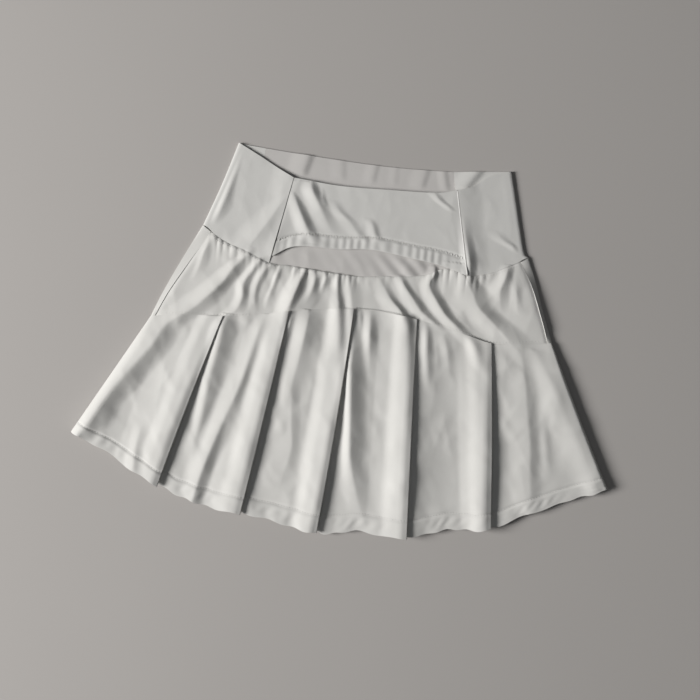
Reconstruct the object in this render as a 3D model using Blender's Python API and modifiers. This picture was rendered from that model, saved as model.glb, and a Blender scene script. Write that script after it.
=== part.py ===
"""Tennis skirt laid flat: a shaped waistband with a loose front flap, a gathered yoke and a pleated flounce.

Each cut piece is a wall of cloth: a grid of points worked out by a formula, made a mesh and given its
thickness by Solidify. Lengths are in millimetres until mesh_of() turns them into metres. X runs across the
skirt, Y from the hem to the waist and Z up from the surface that it lies on.

The back pieces lie flat on the surface. The front pieces lie on them and carry the folds, which are one
height field that all of them share, so that layers on each other keep their distance.
"""

import bpy
import numpy as np

MM = 0.001

# Driving dimensions
WAIST_CLOTH = 1.5  # doubled waistband cloth
SKIRT_CLOTH = 1.2  # yoke and flounce cloth
GAP = 0.3  # between neighbours at a seam, and between layers
FLOUNCE_SEAM_GAP = 0.5  # wider, because both walls slope there
CENTRE = (13.0, -7.7)  # the laid skirt's middle, which becomes the origin

# Heights of the cloth's middle over the surface
WAIST_BACK_Z = WAIST_CLOTH / 2
SKIRT_BACK_Z = SKIRT_CLOTH / 2
UNDER_Z = WAIST_CLOTH + GAP + WAIST_CLOTH / 2
SIDE_FRONT_Z = 3.0
FLAP_Z = UNDER_Z + WAIST_CLOTH + 2.5 * GAP
YOKE_TOP_Z = 2.6
TURN = (SKIRT_CLOTH + GAP) / 2  # radius of a pleat's folded edge, so its layers are 2 * TURN apart
FLOUNCE_Z = SKIRT_BACK_Z + 4 * TURN + SKIRT_CLOTH + GAP
FLOUNCE_EDGE_Z = SKIRT_BACK_Z + SKIRT_CLOTH + GAP
SIDE_ROLL = 9.0  # how far in from its side edge the front flounce bends down

# Outlines, each from the waist down
LEFT_WAIST = ((-126.5, 191.0), (-133.5, 166.0), (-142.0, 138.0), (-154.5, 101.5))
RIGHT_WAIST = ((160.0, 191.5), (167.5, 163.0), (176.0, 130.0), (183.0, 106.0))
LEFT_YOKE = ((-155.0, 101.0), (-175.5, 58.0), (-190.0, 25.0), (-199.0, 2.0))
RIGHT_YOKE = ((187.5, 103.0), (199.5, 72.0), (209.5, 45.0), (221.0, 18.5))
LEFT_STRIP = ((-146.0, 95.0), (-166.0, 60.0), (-183.0, 29.0), (-195.0, 3.2))
RIGHT_STRIP = ((180.0, 98.0), (195.0, 70.0), (206.0, 43.0), (216.5, 18.0))

# Edges across the waistband, each from left to right
NEAR_TOP_LEFT = ((-126.5, 191.0), (-103.0, 179.5), (-81.0, 168.0), (-65.5, 160.5))
FLAP_TOP = ((-65.0, 160.5), (-15.0, 157.0), (40.0, 158.5), (84.0, 160.5), (105.5, 165.5))
NEAR_TOP_RIGHT = ((106.5, 165.5), (122.0, 171.0), (139.0, 184.0), (160.0, 191.5))
FLAP_EDGE = ((-79.5, 76.5), (-56.0, 89.0), (-10.0, 91.0), (24.0, 94.0), (70.0, 89.0), (98.0, 85.0), (125.0, 77.5))
FAR_TOP = ((-98.0, 188.5), (-55.0, 186.0), (12.0, 183.0), (60.0, 183.0), (100.0, 184.5))
BACK_PANEL_FOOT = (-108.0, 120.0)  # where the back's middle panel ends at its lower corners, in x

# The front waist seam. The left panel ends at the fourth point and the right panel starts at the fourteenth.
WAIST_SEAM = (
    (-146.0, 95.5), (-130.0, 86.5), (-106.0, 78.5), (-82.0, 69.0), (-60.0, 68.5), (-38.0, 67.0), (-12.0, 65.5),
    (15.0, 65.0), (38.0, 68.0), (62.0, 70.0), (84.0, 74.5), (100.0, 82.0), (118.0, 82.0), (130.0, 77.5),
    (150.0, 83.0), (165.0, 90.5), (180.0, 98.5),
)
UNDER_STARTS, UNDER_ENDS = 3, 13
UNDER_FLAT_ABOVE = 98.0  # the folds leave the middle panel over this y, where the flap hides it
UNDER_FLAT_FADE = 16.0
UNDER_TOP_INSET = 1.0  # how far the middle panel's top edge lies under the flap's

# The flounce, across at stations 0 to 6: the sides are at 0 and 6, and a pleat's edge at each station between
STATIONS = np.arange(0, 6.1, 0.5)
FLOUNCE_SEAM = (
    (-199.0, 1.0), (-162.0, 6.5), (-125.0, 8.5), (-90.0, 13.5), (-56.0, 21.0), (-24.0, 27.0), (10.0, 30.5),
    (38.0, 31.0), (64.0, 28.5), (106.0, 22.0), (158.0, 10.0), (188.0, 13.0), (221.0, 17.0),
)
FLOUNCE_MIDDLE = (
    (-234.0, -63.5), (-195.0, -71.0), (-156.0, -85.0), (-113.0, -88.0), (-76.0, -88.0), (-38.0, -88.0),
    (0.0, -88.0), (40.0, -86.0), (81.0, -87.0), (121.0, -84.0), (166.5, -86.0), (211.0, -71.0), (257.0, -55.5),
)
FRONT_HEM = (
    (-269.0, -128.0), (-222.0, -150.0), (-174.0, -175.5), (-130.0, -188.5), (-84.0, -195.5), (-45.0, -200.0),
    (-6.0, -207.0), (40.0, -200.5), (90.0, -202.0), (133.0, -189.0), (176.0, -182.5), (232.0, -156.0),
    (295.0, -129.0),
)
BACK_WAIST_SAG = 22.0  # how far the back's waist seam drops under a straight line between its ends
BACK_SEAM_BULGE = 12.0  # how far the back's flounce seam rises over one
BACK_HEM_SAG = 66.0  # how far the back's hem drops under one
BACK_INSET = 0.8  # how far the back's side edges lie inside the front's
YOKE_SIDE_STATION = 0.1  # how far in from the flounce's sides the front yoke's seam with it ends

# Knife pleats of the front: station, depth, width of the rise before the edge, and the edge's height at the
# seam, half way down and at the hem
FRONT_PLEATS = (
    (1, 14.0, 24.0, (3.0, 6.0, 6.5)),
    (2, 12.0, 24.0, (3.5, 6.5, 4.5)),
    (3, 16.0, 26.0, (3.0, 8.5, 9.5)),
    (4, 14.0, 28.0, (5.0, 9.0, 8.5)),
    (5, 13.0, 26.0, (3.0, 6.0, 7.0)),
)
# The back's pleats, which are pressed flat
BACK_PLEATS = tuple((station, 14.0, 22.0, (4 * TURN,) * 3) for station in (1, 2, 3, 4, 5))
STEP_IN = 4.0  # width of the step up on to a pleat's return
FLAT_AFTER = 30.0  # how far a panel takes to come out from under the pleat before it
UNDER_LIFT = 0.018  # share of its length by which the cloth under a pleat's edge is shorter

# Soft folds of the front, each from its upper end to its lower one. A point has its x and y, the fold's
# height, and how far the fold reaches to its left and to its right.
FOLDS = {
    "left panel, rolled side": (
        (-124, 188, 0.0, 3, 6), (-131, 162, 1.6, 4, 9), (-138, 140, 3.0, 4, 11), (-145, 124, 2.4, 4, 10),
        (-152, 104, 0.0, 4, 6),
    ),
    "left panel, slope to the seam": (
        (-70, 144, 0.0, 6, 4), (-84, 118, 1.6, 22, 12), (-96, 98, 2.4, 26, 18), (-104, 84, 1.4, 26, 24),
        (-108, 70, 0.0, 26, 24),
    ),
    "flap, crease from the seam": (
        (-66, 144, 0.0, 5, 3), (-58, 131, 1.8, 8, 7), (-48, 116, 2.8, 11, 14), (-42, 104, 2.2, 12, 17),
        (-40, 94, 0.0, 12, 16),
    ),
    "flap, crease from the top": (
        (-42, 158, 0.0, 6, 4), (-43, 147, 2.2, 11, 9), (-40, 137, 2.2, 13, 12), (-31, 126, 1.0, 13, 9),
        (-20, 112, 0.0, 12, 8),
    ),
    "ridge beside the right seam": (
        (117, 140, 0.0, 6, 5), (123, 118, 2.4, 8, 8), (128, 100, 3.8, 9, 9), (131, 84, 4.0, 9, 7),
        (133, 70, 0.0, 9, 6),
    ),
    "yoke, first diagonal, on to the flounce": (
        (-104, 81, 0.0, 6, 5), (-109, 70, 2.5, 9, 8), (-118, 55, 4.6, 14, 11), (-128, 38, 5.2, 17, 13),
        (-138, 22, 4.0, 19, 12), (-152, 8, 2.6, 20, 13), (-178, -8, 3.0, 19, 18), (-213, -55, 4.6, 19, 20),
        (-248, -112, 3.4, 14, 16), (-262, -134, 0.6, 8, 10),
    ),
    "yoke, waved fold": (
        (-93, 72, 0.6, 6, 5), (-99, 60, 2.8, 7, 7), (-108, 46, 3.4, 7, 8), (-107, 32, 3.0, 7, 7),
        (-112, 19, 2.4, 7, 10), (-122, 6, 0.0, 7, 14),
    ),
    "yoke, steep fold over the second pleat": (
        (-44, 67, 0.6, 7, 6), (-47, 58, 3.4, 10, 7), (-51, 44, 4.6, 14, 8), (-54, 30, 3.8, 14, 9),
        (-58, 14, 1.4, 14, 9), (-60, 0, 0.0, 14, 8),
    ),
    "hollow right of it": (
        (-46, 62, 0.4, 8, 14), (-50, 46, 3.2, 14, 30), (-54, 30, 4.2, 16, 37), (-57, 14, 3.4, 14, 40),
        (-61, -12, 1.8, 14, 38), (-68, -50, 0.0, 14, 30),
    ),
    "upright fold, yoke to flounce": (
        (-11, 66, 0.4, 6, 6), (-12, 54, 3.2, 6, 8), (-12, 40, 4.6, 6, 9), (-11, 25, 5.0, 7, 10),
        (-8, 4, 5.0, 10, 10), (-5, -18, 3.4, 13, 9), (-3, -55, 1.6, 13, 7), (-3, -95, 0.0, 12, 7),
    ),
    "yoke, diagonal over the fourth pleat": (
        (42, 67, 0.4, 9, 7), (44, 56, 2.8, 14, 9), (50, 44, 4.2, 16, 10), (59, 33, 4.6, 18, 10),
        (66, 22, 3.2, 18, 10), (73, 0, 0.8, 18, 10), (76, -14, 0.0, 18, 8),
    ),
    "yoke, middle diagonal": (
        (60, 71, 0.4, 7, 7), (64, 62, 2.2, 9, 8), (73, 50, 3.6, 12, 9), (84, 38, 3.4, 12, 9),
        (97, 28, 2.0, 12, 9), (108, 18, 0.0, 12, 9),
    ),
    "yoke, deep diagonal": (
        (86, 80, 0.4, 7, 8), (90, 66, 3.6, 11, 9), (99, 48, 5.2, 14, 11), (112, 34, 4.8, 15, 12),
        (126, 22, 3.0, 15, 13), (140, 10, 1.4, 14, 12), (150, -4, 0.0, 13, 11),
    ),
    "yoke, large puff": (
        (118, 90, 1.6, 20, 12), (127, 74, 3.8, 27, 10), (137, 58, 5.6, 36, 16), (148, 44, 5.6, 33, 30),
        (162, 31, 4.8, 28, 34), (174, 18, 3.2, 25, 34), (186, 4, 1.4, 22, 30), (196, -10, 0.0, 20, 26),
    ),
    "yoke, small puff": (
        (166, 92, 0.0, 9, 7), (161, 77, 3.2, 13, 10), (158, 64, 3.2, 14, 12), (164, 50, 0.8, 14, 11),
        (168, 42, 0.0, 14, 11),
    ),
    "flounce, ridge between the first two pleats": (
        (-72, 15, 0.4, 9, 9), (-80, -15, 2.8, 14, 14), (-89, -45, 3.8, 16, 16), (-100, -82, 4.0, 18, 16),
        (-111, -118, 4.0, 18, 15), (-126, -155, 3.8, 18, 14), (-134, -194, 3.0, 16, 14),
    ),
    "flounce, ridge right of the second pleat": (
        (-33, 23, 0.4, 9, 8), (-38, 5, 2.6, 11, 11), (-45, -25, 3.2, 14, 14), (-52, -53, 1.8, 16, 19),
        (-56, -72, 0.0, 16, 20),
    ),
    "flounce, dent left of the third pleat": (
        (-44, -52, 0.0, 14, 10), (-42, -75, 2.4, 20, 11), (-36, -100, 3.2, 23, 11), (-31, -125, 2.4, 24, 10),
        (-27, -150, 0.0, 24, 10),
    ),
    "flounce, ridge right of the third pleat": (
        (13, 27, 0.6, 6, 10), (18, -20, 2.6, 7, 15), (20, -60, 3.2, 9, 17), (21, -100, 3.2, 10, 17),
        (26, -130, 2.8, 12, 18), (40, -160, 2.0, 17, 20), (56, -205, 0.6, 22, 22),
    ),
    "flounce, fold right of the fourth pleat": (
        (91, 25, 0.6, 8, 7), (92, 10, 2.6, 9, 9), (94, -10, 2.8, 11, 10), (98, -30, 1.2, 12, 10),
        (101, -48, 0.0, 12, 10),
    ),
    "flounce, broad ridge left of the fifth pleat": (
        (130, 15, 0.4, 12, 10), (141, -20, 2.6, 28, 17), (148, -70, 3.6, 35, 14), (154, -120, 3.8, 38, 12),
        (160, -190, 2.8, 38, 12),
    ),
    "flounce, ridge right of the fifth pleat": (
        (190, 4, 0.4, 11, 11), (194, -30, 2.2, 14, 14), (200, -70, 3.0, 18, 18), (206, -110, 3.0, 20, 20),
        (215, -172, 1.2, 20, 20),
    ),
    "flounce, right diagonal": (
        (200, 8, 0.4, 9, 10), (222, -25, 2.8, 16, 12), (246, -60, 3.8, 20, 12), (264, -87, 2.8, 18, 10),
        (287, -130, 0.4, 12, 7),
    ),
}

# How finely the walls are faceted
SEAM_STEPS = 3  # columns between two points of the waist seam
FLOUNCE_ROWS = 8
YOKE_ROWS = 7
WAIST_ROWS = 8
FLAP_COLUMNS = 30
BACK_PANEL_COLUMNS = 16
BACK_YOKE_COLUMNS = 12
SIDE_FRONT_COLUMNS = 12
SIDE_BACK_COLUMNS = 4
SIDE_SEAM_POINTS = 8
TURN_STEPS = 4  # facets round half a turn
PANEL_SHARES = np.array((0.0, 0.14, 0.3, 0.45, 0.6, 0.72, 0.84, 0.93, 1.0))  # columns across a pleat's panel
RETURN_SHARES = np.array((0.33, 0.67, 1.0))  # columns across a pleat's return
LAST_SHARES = np.array((0.2, 0.4, 0.6, 0.8))  # columns across the panel after the last pleat
EDGE_DISTANCES = np.array((0.0, 0.6, 2.2, 5.0, 9.0))  # columns beside the flounce's side edges
SHIFT_FADE = 6.0  # the yoke's side shifts fade out over this part of its width, as 1 / SHIFT_FADE
BOW_FADE = 5.0  # a side panel's rows take up their bow over this part of their length, as 1 / BOW_FADE


def smooth(t):
    """0 up to t = 0, 1 from t = 1 on, and an S curve between them."""
    t = np.clip(t, 0.0, 1.0)
    return t * t * (3 - 2 * t)


def through(knots, values, at):
    """The smooth curve through the values at the knots: cubic pieces whose slopes match at each knot."""
    knots = np.asarray(knots, float)
    values = np.asarray(values, float)
    slopes = np.gradient(values, knots, axis=0)
    at = np.clip(at, knots[0], knots[-1])
    first = np.clip(np.searchsorted(knots, at, side="right") - 1, 0, len(knots) - 2)
    step = (knots[first + 1] - knots[first])[..., None]
    t = (at - knots[first])[..., None] / step
    start, end = values[first], values[first + 1]
    start_slope, end_slope = slopes[first] * step, slopes[first + 1] * step
    return (
        (2 * t**3 - 3 * t**2 + 1) * start
        + (t**3 - 2 * t**2 + t) * start_slope
        + (3 * t**2 - 2 * t**3) * end
        + (t**3 - t**2) * end_slope
    )


def along(points, share):
    """The point at each share, 0 to 1, of the curve through the points, which are equally far apart in it."""
    share = np.asarray(share, float)
    return through(np.arange(len(points)), points, share * (len(points) - 1))


def folds(x, y):
    """Height that the soft folds add: at each y a fold has its crest at some x, and falls off in an S curve."""
    total = np.zeros_like(x)
    for points in FOLDS.values():
        points = np.asarray(points, float)[::-1]
        crest, height, left, right = np.moveaxis(through(points[:, 1], points[:, [0, 2, 3, 4]], y), -1, 0)
        reach = np.where(x < crest, left, right)
        inside = (y >= points[0, 1]) & (y <= points[-1, 1])
        total += np.where(inside, np.maximum(height, 0) * smooth(1 - np.abs(x - crest) / reach), 0)
    return total


def ruled(top, bottom):
    """Straight threads between the same columns of a top and a bottom edge, in WAIST_ROWS steps."""
    v = np.linspace(0, 1, WAIST_ROWS + 1)[:, None, None]
    return (1 - v) * top + v * bottom


def flounce_place(line_rows, station, v):
    """Plan point at a station and a share v of the way down: a parabola through the seam, middle and hem."""
    seam, middle, hem = (through(STATIONS, line, station) for line in line_rows)
    v = v[..., None]
    return (1 - v) * (1 - 2 * v) * seam + 4 * v * (1 - v) * middle + v * (2 * v - 1) * hem


def pleated(line_rows, pleats, v):
    """Stations, heights and shares down of a pleated wall, one row for each v.

    Each panel runs right, rises on to its pleat, turns under at the pleat's edge, runs back left by the
    pleat's depth and turns down into the next panel, which starts at height 0.
    """
    v = v[:, None]
    small = 0.01
    last_station = STATIONS[-1]

    def millimetres(station):
        ends = [flounce_place(line_rows, np.full_like(v, station + s), v) for s in (-small, small)]
        return np.linalg.norm(ends[1] - ends[0], axis=-1) / (2 * small)

    half_turn = np.linspace(0, np.pi, TURN_STEPS + 1)
    start = EDGE_DISTANCES / millimetres(small)
    stations, heights, lifts = [start], [np.zeros_like(start)], [np.zeros_like(start)]
    reached = start[:, -1:]
    for station, depth, rise, edge_heights in pleats:
        scale = millimetres(station)
        edge = flounce_heights(edge_heights, v)
        bend = station - TURN / scale
        inner = station - (depth - TURN) / scale

        panel = reached + (bend - reached) * PANEL_SHARES[1:]
        on_return = smooth((panel - inner) * scale / STEP_IN + 1 + TURN / STEP_IN)
        up = 4 * TURN * on_return + (edge - 4 * TURN) * smooth((panel - station) * scale / rise + 1)
        turn_out = bend + TURN * np.sin(half_turn[1:]) / scale
        turn_out_up = edge - TURN + TURN * np.cos(half_turn[1:])
        back = bend + (inner - bend) * RETURN_SHARES
        back_up = 2 * TURN + (edge - 4 * TURN) * smooth((back - inner) / (bend - inner))
        turn_in = inner - TURN * np.sin(half_turn[1:]) / scale
        turn_in_up = TURN + TURN * np.cos(half_turn[1:]) + np.zeros_like(scale)

        stations += [panel, turn_out, back, turn_in]
        heights += [up, turn_out_up, back_up, turn_in_up]
        out_from_under = smooth(1 - (panel - reached) * scale / FLAT_AFTER) * (station > 1)
        going_under = smooth((bend - back) / (bend - inner))
        lifts += [out_from_under, np.zeros_like(turn_out), going_under, np.ones_like(turn_in)]
        reached = inner
    side = last_station - (EDGE_DISTANCES / millimetres(last_station - small))[:, ::-1]
    panel = reached + (side[:, :1] - reached) * LAST_SHARES
    last = np.concatenate([panel, side], axis=1)
    stations.append(last)
    heights.append(np.zeros_like(last))
    lifts.append(smooth(1 - (last - reached) * millimetres(last_station - 0.5) / FLAT_AFTER))
    lift = np.concatenate(lifts, axis=1)
    return np.concatenate(stations, axis=1), np.concatenate(heights, axis=1), v * (1 - UNDER_LIFT * lift)


def flounce_heights(edge_heights, v):
    """A pleat edge's height at each v: a parabola through its three heights, never under its stacked cloth."""
    seam, middle, hem = edge_heights
    height = (1 - v) * (1 - 2 * v) * seam + 4 * v * (1 - v) * middle + v * (2 * v - 1) * hem
    return np.maximum(height, 4 * TURN)


def front_flounce():
    """The front flounce: its pleats on the base height, bent down at both sides, with the soft folds added."""
    lines = (FLOUNCE_SEAM, FLOUNCE_MIDDLE, FRONT_HEM)
    station, height, v = pleated(lines, FRONT_PLEATS, np.linspace(0, 1, FLOUNCE_ROWS + 1))
    place = flounce_place(lines, station, v)
    left, right = place[:, :1], place[:, -1:]
    from_side = np.minimum(np.linalg.norm(place - left, axis=-1), np.linalg.norm(place - right, axis=-1))
    roll = 1 - np.sqrt(1 - np.clip(1 - from_side / SIDE_ROLL, 0, 1) ** 2)
    z = FLOUNCE_Z - (FLOUNCE_Z - FLOUNCE_EDGE_Z) * roll + height
    z += folds(place[..., 0], place[..., 1]) * (1 - roll)
    return np.dstack([place, z])


def back_flounce():
    """The back flounce: pressed pleats that lie the other way, flat on the surface, with a plain curved hem."""
    share = (STATIONS / STATIONS[-1])[:, None]
    arch = 4 * share * (1 - share) * np.array((0.0, 1.0))
    ends = [(line[-1], line[0]) for line in (FLOUNCE_SEAM, FLOUNCE_MIDDLE, FRONT_HEM)]
    seam, middle, hem = (np.array(a) + (np.array(b) - np.array(a)) * share for a, b in ends)
    seam = seam + BACK_SEAM_BULGE * arch
    hem = hem - BACK_HEM_SAG * arch
    middle = middle - (BACK_HEM_SAG - BACK_SEAM_BULGE) / 2 * arch
    inset = BACK_INSET * np.sign(share - 0.5) * (np.abs(share - 0.5) == 0.5) * np.array((1.0, 0.0))
    lines = (seam + inset, middle + inset, hem + inset)
    station, height, v = pleated(lines, BACK_PLEATS, np.linspace(0, 1, FLOUNCE_ROWS + 1))
    place = flounce_place(lines, station, v)
    return np.dstack([place, SKIRT_BACK_Z + height])


def yoke_base(v):
    """Height of the yoke's middle at a share v of the way down, from the waist seam's to the flounce's."""
    return YOKE_TOP_Z + (FLOUNCE_Z - YOKE_TOP_Z) * smooth(v)


def front_yoke():
    """The front yoke, from the waist seam to the flounce seam and between the two side strips."""
    columns = (len(WAIST_SEAM) - 1) * SEAM_STEPS
    u = np.linspace(0, 1, columns + 1)
    v = np.linspace(0, 1, YOKE_ROWS + 1)
    top = along(WAIST_SEAM, u) - (0, GAP)
    station = YOKE_SIDE_STATION + (STATIONS[-1] - 2 * YOKE_SIDE_STATION) * u
    seam = through(STATIONS, FLOUNCE_SEAM, station) + (0, FLOUNCE_SEAM_GAP)
    shares = v[:, None, None]
    place = (1 - shares) * top + shares * seam
    # The side edges follow the strips' edges, and the shift that this takes fades towards the middle
    left = along(LEFT_STRIP, v) + (GAP, 0) - place[:, 0]
    right = along(RIGHT_STRIP, v) - (GAP, 0) - place[:, -1]
    place += left[:, None] * (1 - smooth(u * SHIFT_FADE))[:, None]
    place += right[:, None] * (1 - smooth((1 - u) * SHIFT_FADE))[:, None]
    z = yoke_base(v)[:, None] + folds(place[..., 0], place[..., 1])
    return np.dstack([place, z])


def arched(left, right, x, rise):
    """Height in y, at each x, of a parabola from the left point to the right one that rises so far between."""
    share = (x - left[..., 0]) / (right[..., 0] - left[..., 0])
    return left[..., 1] + (right[..., 1] - left[..., 1]) * share + 4 * share * (1 - share) * rise


def back_waist_seam(x):
    """The back's waist seam at each x, as points."""
    x = np.asarray(x, float)
    y = arched(np.array(LEFT_YOKE[0]), np.array(RIGHT_YOKE[0]), x, -BACK_WAIST_SAG)
    return np.stack([x, y], axis=-1)


def rounded_side(outline, inner, low, high):
    """Half a turn at a side: from height low to height high, bulging from the inner points to the outline."""
    outward = outline - inner
    outward /= np.linalg.norm(outward, axis=1)[:, None]
    radius = (high - low) / 2
    angle = np.linspace(-np.pi / 2, np.pi / 2, TURN_STEPS + 1)
    reach = radius[:, None] * (np.cos(angle) - 1)
    place = outline[:, None] + outward[:, None] * reach[..., None]
    return np.dstack([place, low[:, None] + radius[:, None] * (1 + np.sin(angle))])


def back_yoke():
    """The back yoke: flat on the surface, folded forward at both sides into a strip that narrows downwards."""
    v = np.linspace(0, 1, YOKE_ROWS + 1)
    front_z = yoke_base(v)
    low = np.full_like(v, SKIRT_BACK_Z)
    sides = []
    for outline, strip in ((LEFT_YOKE, LEFT_STRIP), (RIGHT_YOKE, RIGHT_STRIP)):
        outline, strip = along(outline, v), along(strip, v)
        turn = rounded_side(outline, strip, low, front_z)
        share = np.array((0.0, 0.5))[None, :, None]
        flat = strip[:, None] + (turn[:, -1:, :2] - strip[:, None]) * share
        height = np.repeat(front_z[:, None], 2, axis=1)
        sides.append((np.dstack([flat, height]), turn))
    (left_strip, left_turn), (right_strip, right_turn) = sides
    share = np.linspace(0, 1, BACK_YOKE_COLUMNS + 2)[1:-1]
    x = left_turn[:, :1, 0] + (right_turn[:, :1, 0] - left_turn[:, :1, 0]) * share
    rise = (-BACK_WAIST_SAG * (1 - v) + BACK_SEAM_BULGE * v)[:, None]
    y = arched(along(LEFT_YOKE, v)[:, None], along(RIGHT_YOKE, v)[:, None], x, rise)
    y += GAP * (2 * v[:, None] - 1)
    flat = np.dstack([x, y, np.full_like(x, SKIRT_BACK_Z)])
    return np.concatenate([left_strip, left_turn[:, ::-1], flat, right_turn, right_strip[:, ::-1]], axis=1)


def waist_side(outline, front_top, front_seam, front_edge, back_edge, mirrored):
    """A waist side panel: flat at the back, round the side fold, and over the front to the flap's seam."""
    v = np.linspace(0, 1, WAIST_ROWS + 1)
    outer = along(outline, v)
    inner = front_edge[0] + (front_edge[1] - front_edge[0]) * v[:, None]
    back = back_edge[0] + (back_edge[1] - back_edge[0]) * v[:, None]
    low = np.full_like(v, WAIST_BACK_Z)
    turn = rounded_side(outer, inner, low, np.full_like(v, SIDE_FRONT_Z))
    share = np.linspace(0, 1, SIDE_FRONT_COLUMNS + 1)[1:][None, :, None]
    front = turn[:, -1:, :2] + (inner[:, None] - turn[:, -1:, :2]) * share
    # Bow the rows so that the first and the last follow the panel's own top and bottom edges
    places = share[0, :, 0]
    for edge, row, weight in ((front_top, 0, 1 - v), (front_seam, -1, v)):
        wanted = along(edge, places)
        bow = (wanted - front[row]) * smooth(places * BOW_FADE)[:, None] * (0, 1)
        front += bow[None] * weight[:, None, None]
    z = SIDE_FRONT_Z + folds(front[..., 0], front[..., 1])
    flat_share = np.linspace(0, 1, SIDE_BACK_COLUMNS + 1)[:-1][None, :, None]
    flat = back[:, None] + (turn[:, :1, :2] - back[:, None]) * flat_share
    back_part = np.dstack([flat, np.full(flat.shape[:2], WAIST_BACK_Z)])
    grid = np.concatenate([back_part, turn, np.dstack([front, z])], axis=1)
    return grid[:, ::-1] if mirrored else grid


def left_waist_side():
    """The left side panel."""
    last = len(WAIST_SEAM) - 1
    seam = along(WAIST_SEAM, np.linspace(0, UNDER_STARTS, SIDE_SEAM_POINTS) / last) + (0, GAP)
    seam = np.concatenate([[LEFT_WAIST[-1]], seam])
    front_edge = np.array((NEAR_TOP_LEFT[-1], WAIST_SEAM[UNDER_STARTS])) - (GAP, 0)
    back_edge = np.array((FAR_TOP[0], back_waist_seam(BACK_PANEL_FOOT[0]) + (0, GAP))) - (GAP, 0)
    return waist_side(LEFT_WAIST, NEAR_TOP_LEFT, seam, front_edge, back_edge, mirrored=False)


def right_waist_side():
    """The right side panel, whose edges run inwards from the side like the left one's."""
    last = len(WAIST_SEAM) - 1
    seam = along(WAIST_SEAM, np.linspace(last, UNDER_ENDS, SIDE_SEAM_POINTS) / last) + (0, GAP)
    seam = np.concatenate([[RIGHT_WAIST[-1]], seam])
    front_edge = np.array((NEAR_TOP_RIGHT[0], WAIST_SEAM[UNDER_ENDS])) + (GAP, 0)
    back_edge = np.array((FAR_TOP[-1], back_waist_seam(BACK_PANEL_FOOT[1]) + (0, GAP))) + (GAP, 0)
    return waist_side(RIGHT_WAIST, NEAR_TOP_RIGHT[::-1], seam, front_edge, back_edge, mirrored=True)


def waist_flap():
    """The flap, over the front's middle, sewn in at its top and sides and loose at its lower edge."""
    u = np.linspace(0, 1, FLAP_COLUMNS + 1)
    place = ruled(along(FLAP_TOP, u), along(FLAP_EDGE, u))
    return np.dstack([place, FLAP_Z + folds(place[..., 0], place[..., 1])])


def waist_under():
    """The front's middle panel, under the flap, down to the gathered waist seam."""
    u = np.linspace(0, 1, (UNDER_ENDS - UNDER_STARTS) * SEAM_STEPS + 1)
    index = UNDER_STARTS + (UNDER_ENDS - UNDER_STARTS) * u
    top = along(FLAP_TOP, u) - (0, UNDER_TOP_INSET)
    bottom = along(WAIST_SEAM, index / (len(WAIST_SEAM) - 1)) + (0, GAP)
    place = ruled(top, bottom)
    x, y = np.moveaxis(place, -1, 0)
    return np.dstack([place, UNDER_Z + folds(x, y) * smooth((UNDER_FLAT_ABOVE - y) / UNDER_FLAT_FADE)])


def waist_back():
    """The back's middle panel, flat on the surface."""
    u = np.linspace(0, 1, BACK_PANEL_COLUMNS + 1)
    foot = back_waist_seam(BACK_PANEL_FOOT[0] + (BACK_PANEL_FOOT[1] - BACK_PANEL_FOOT[0]) * u)
    place = ruled(along(FAR_TOP, u), foot + (0, GAP))
    return np.dstack([place, np.full(place.shape[:2], WAIST_BACK_Z)])


def mesh_of(name, grid):
    """A mesh of the grid's cells, two triangles each, in metres and centred on the skirt's middle."""
    rows, columns = grid.shape[:2]
    corner = np.arange(rows * columns).reshape(rows, columns)
    upper_left, upper_right = corner[:-1, :-1].ravel(), corner[:-1, 1:].ravel()
    lower_left, lower_right = corner[1:, :-1].ravel(), corner[1:, 1:].ravel()
    triangles = np.concatenate([
        np.stack([upper_left, lower_left, upper_right], axis=1),
        np.stack([upper_right, lower_left, lower_right], axis=1),
    ])
    points = (grid.reshape(-1, 3) - (*CENTRE, 0.0)) * MM
    mesh = bpy.data.meshes.new(name)
    mesh.from_pydata(points.tolist(), [], triangles.tolist())
    mesh.shade_smooth()
    return mesh


def material_of(name, colour):
    """A plain knitted cloth's colour, rough and not metallic."""
    material = bpy.data.materials.new(name)
    material.use_nodes = True
    shader = material.node_tree.nodes["Principled BSDF"]
    shader.inputs["Base Color"].default_value = (*colour, 1.0)
    shader.inputs["Roughness"].default_value = 0.85
    shader.inputs["Metallic"].default_value = 0.0
    return material


def add_cloth(collection, name, grid, thickness, colour):
    """One cut piece: its surface, its wall thickness and its material."""
    piece = bpy.data.objects.new(name, mesh_of(name, grid))
    piece.data.materials.append(material_of(name, colour))
    wall = piece.modifiers.new("wall", "SOLIDIFY")
    wall.thickness = thickness * MM
    wall.offset = 0.0
    wall.use_even_offset = True
    collection.objects.link(piece)


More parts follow.
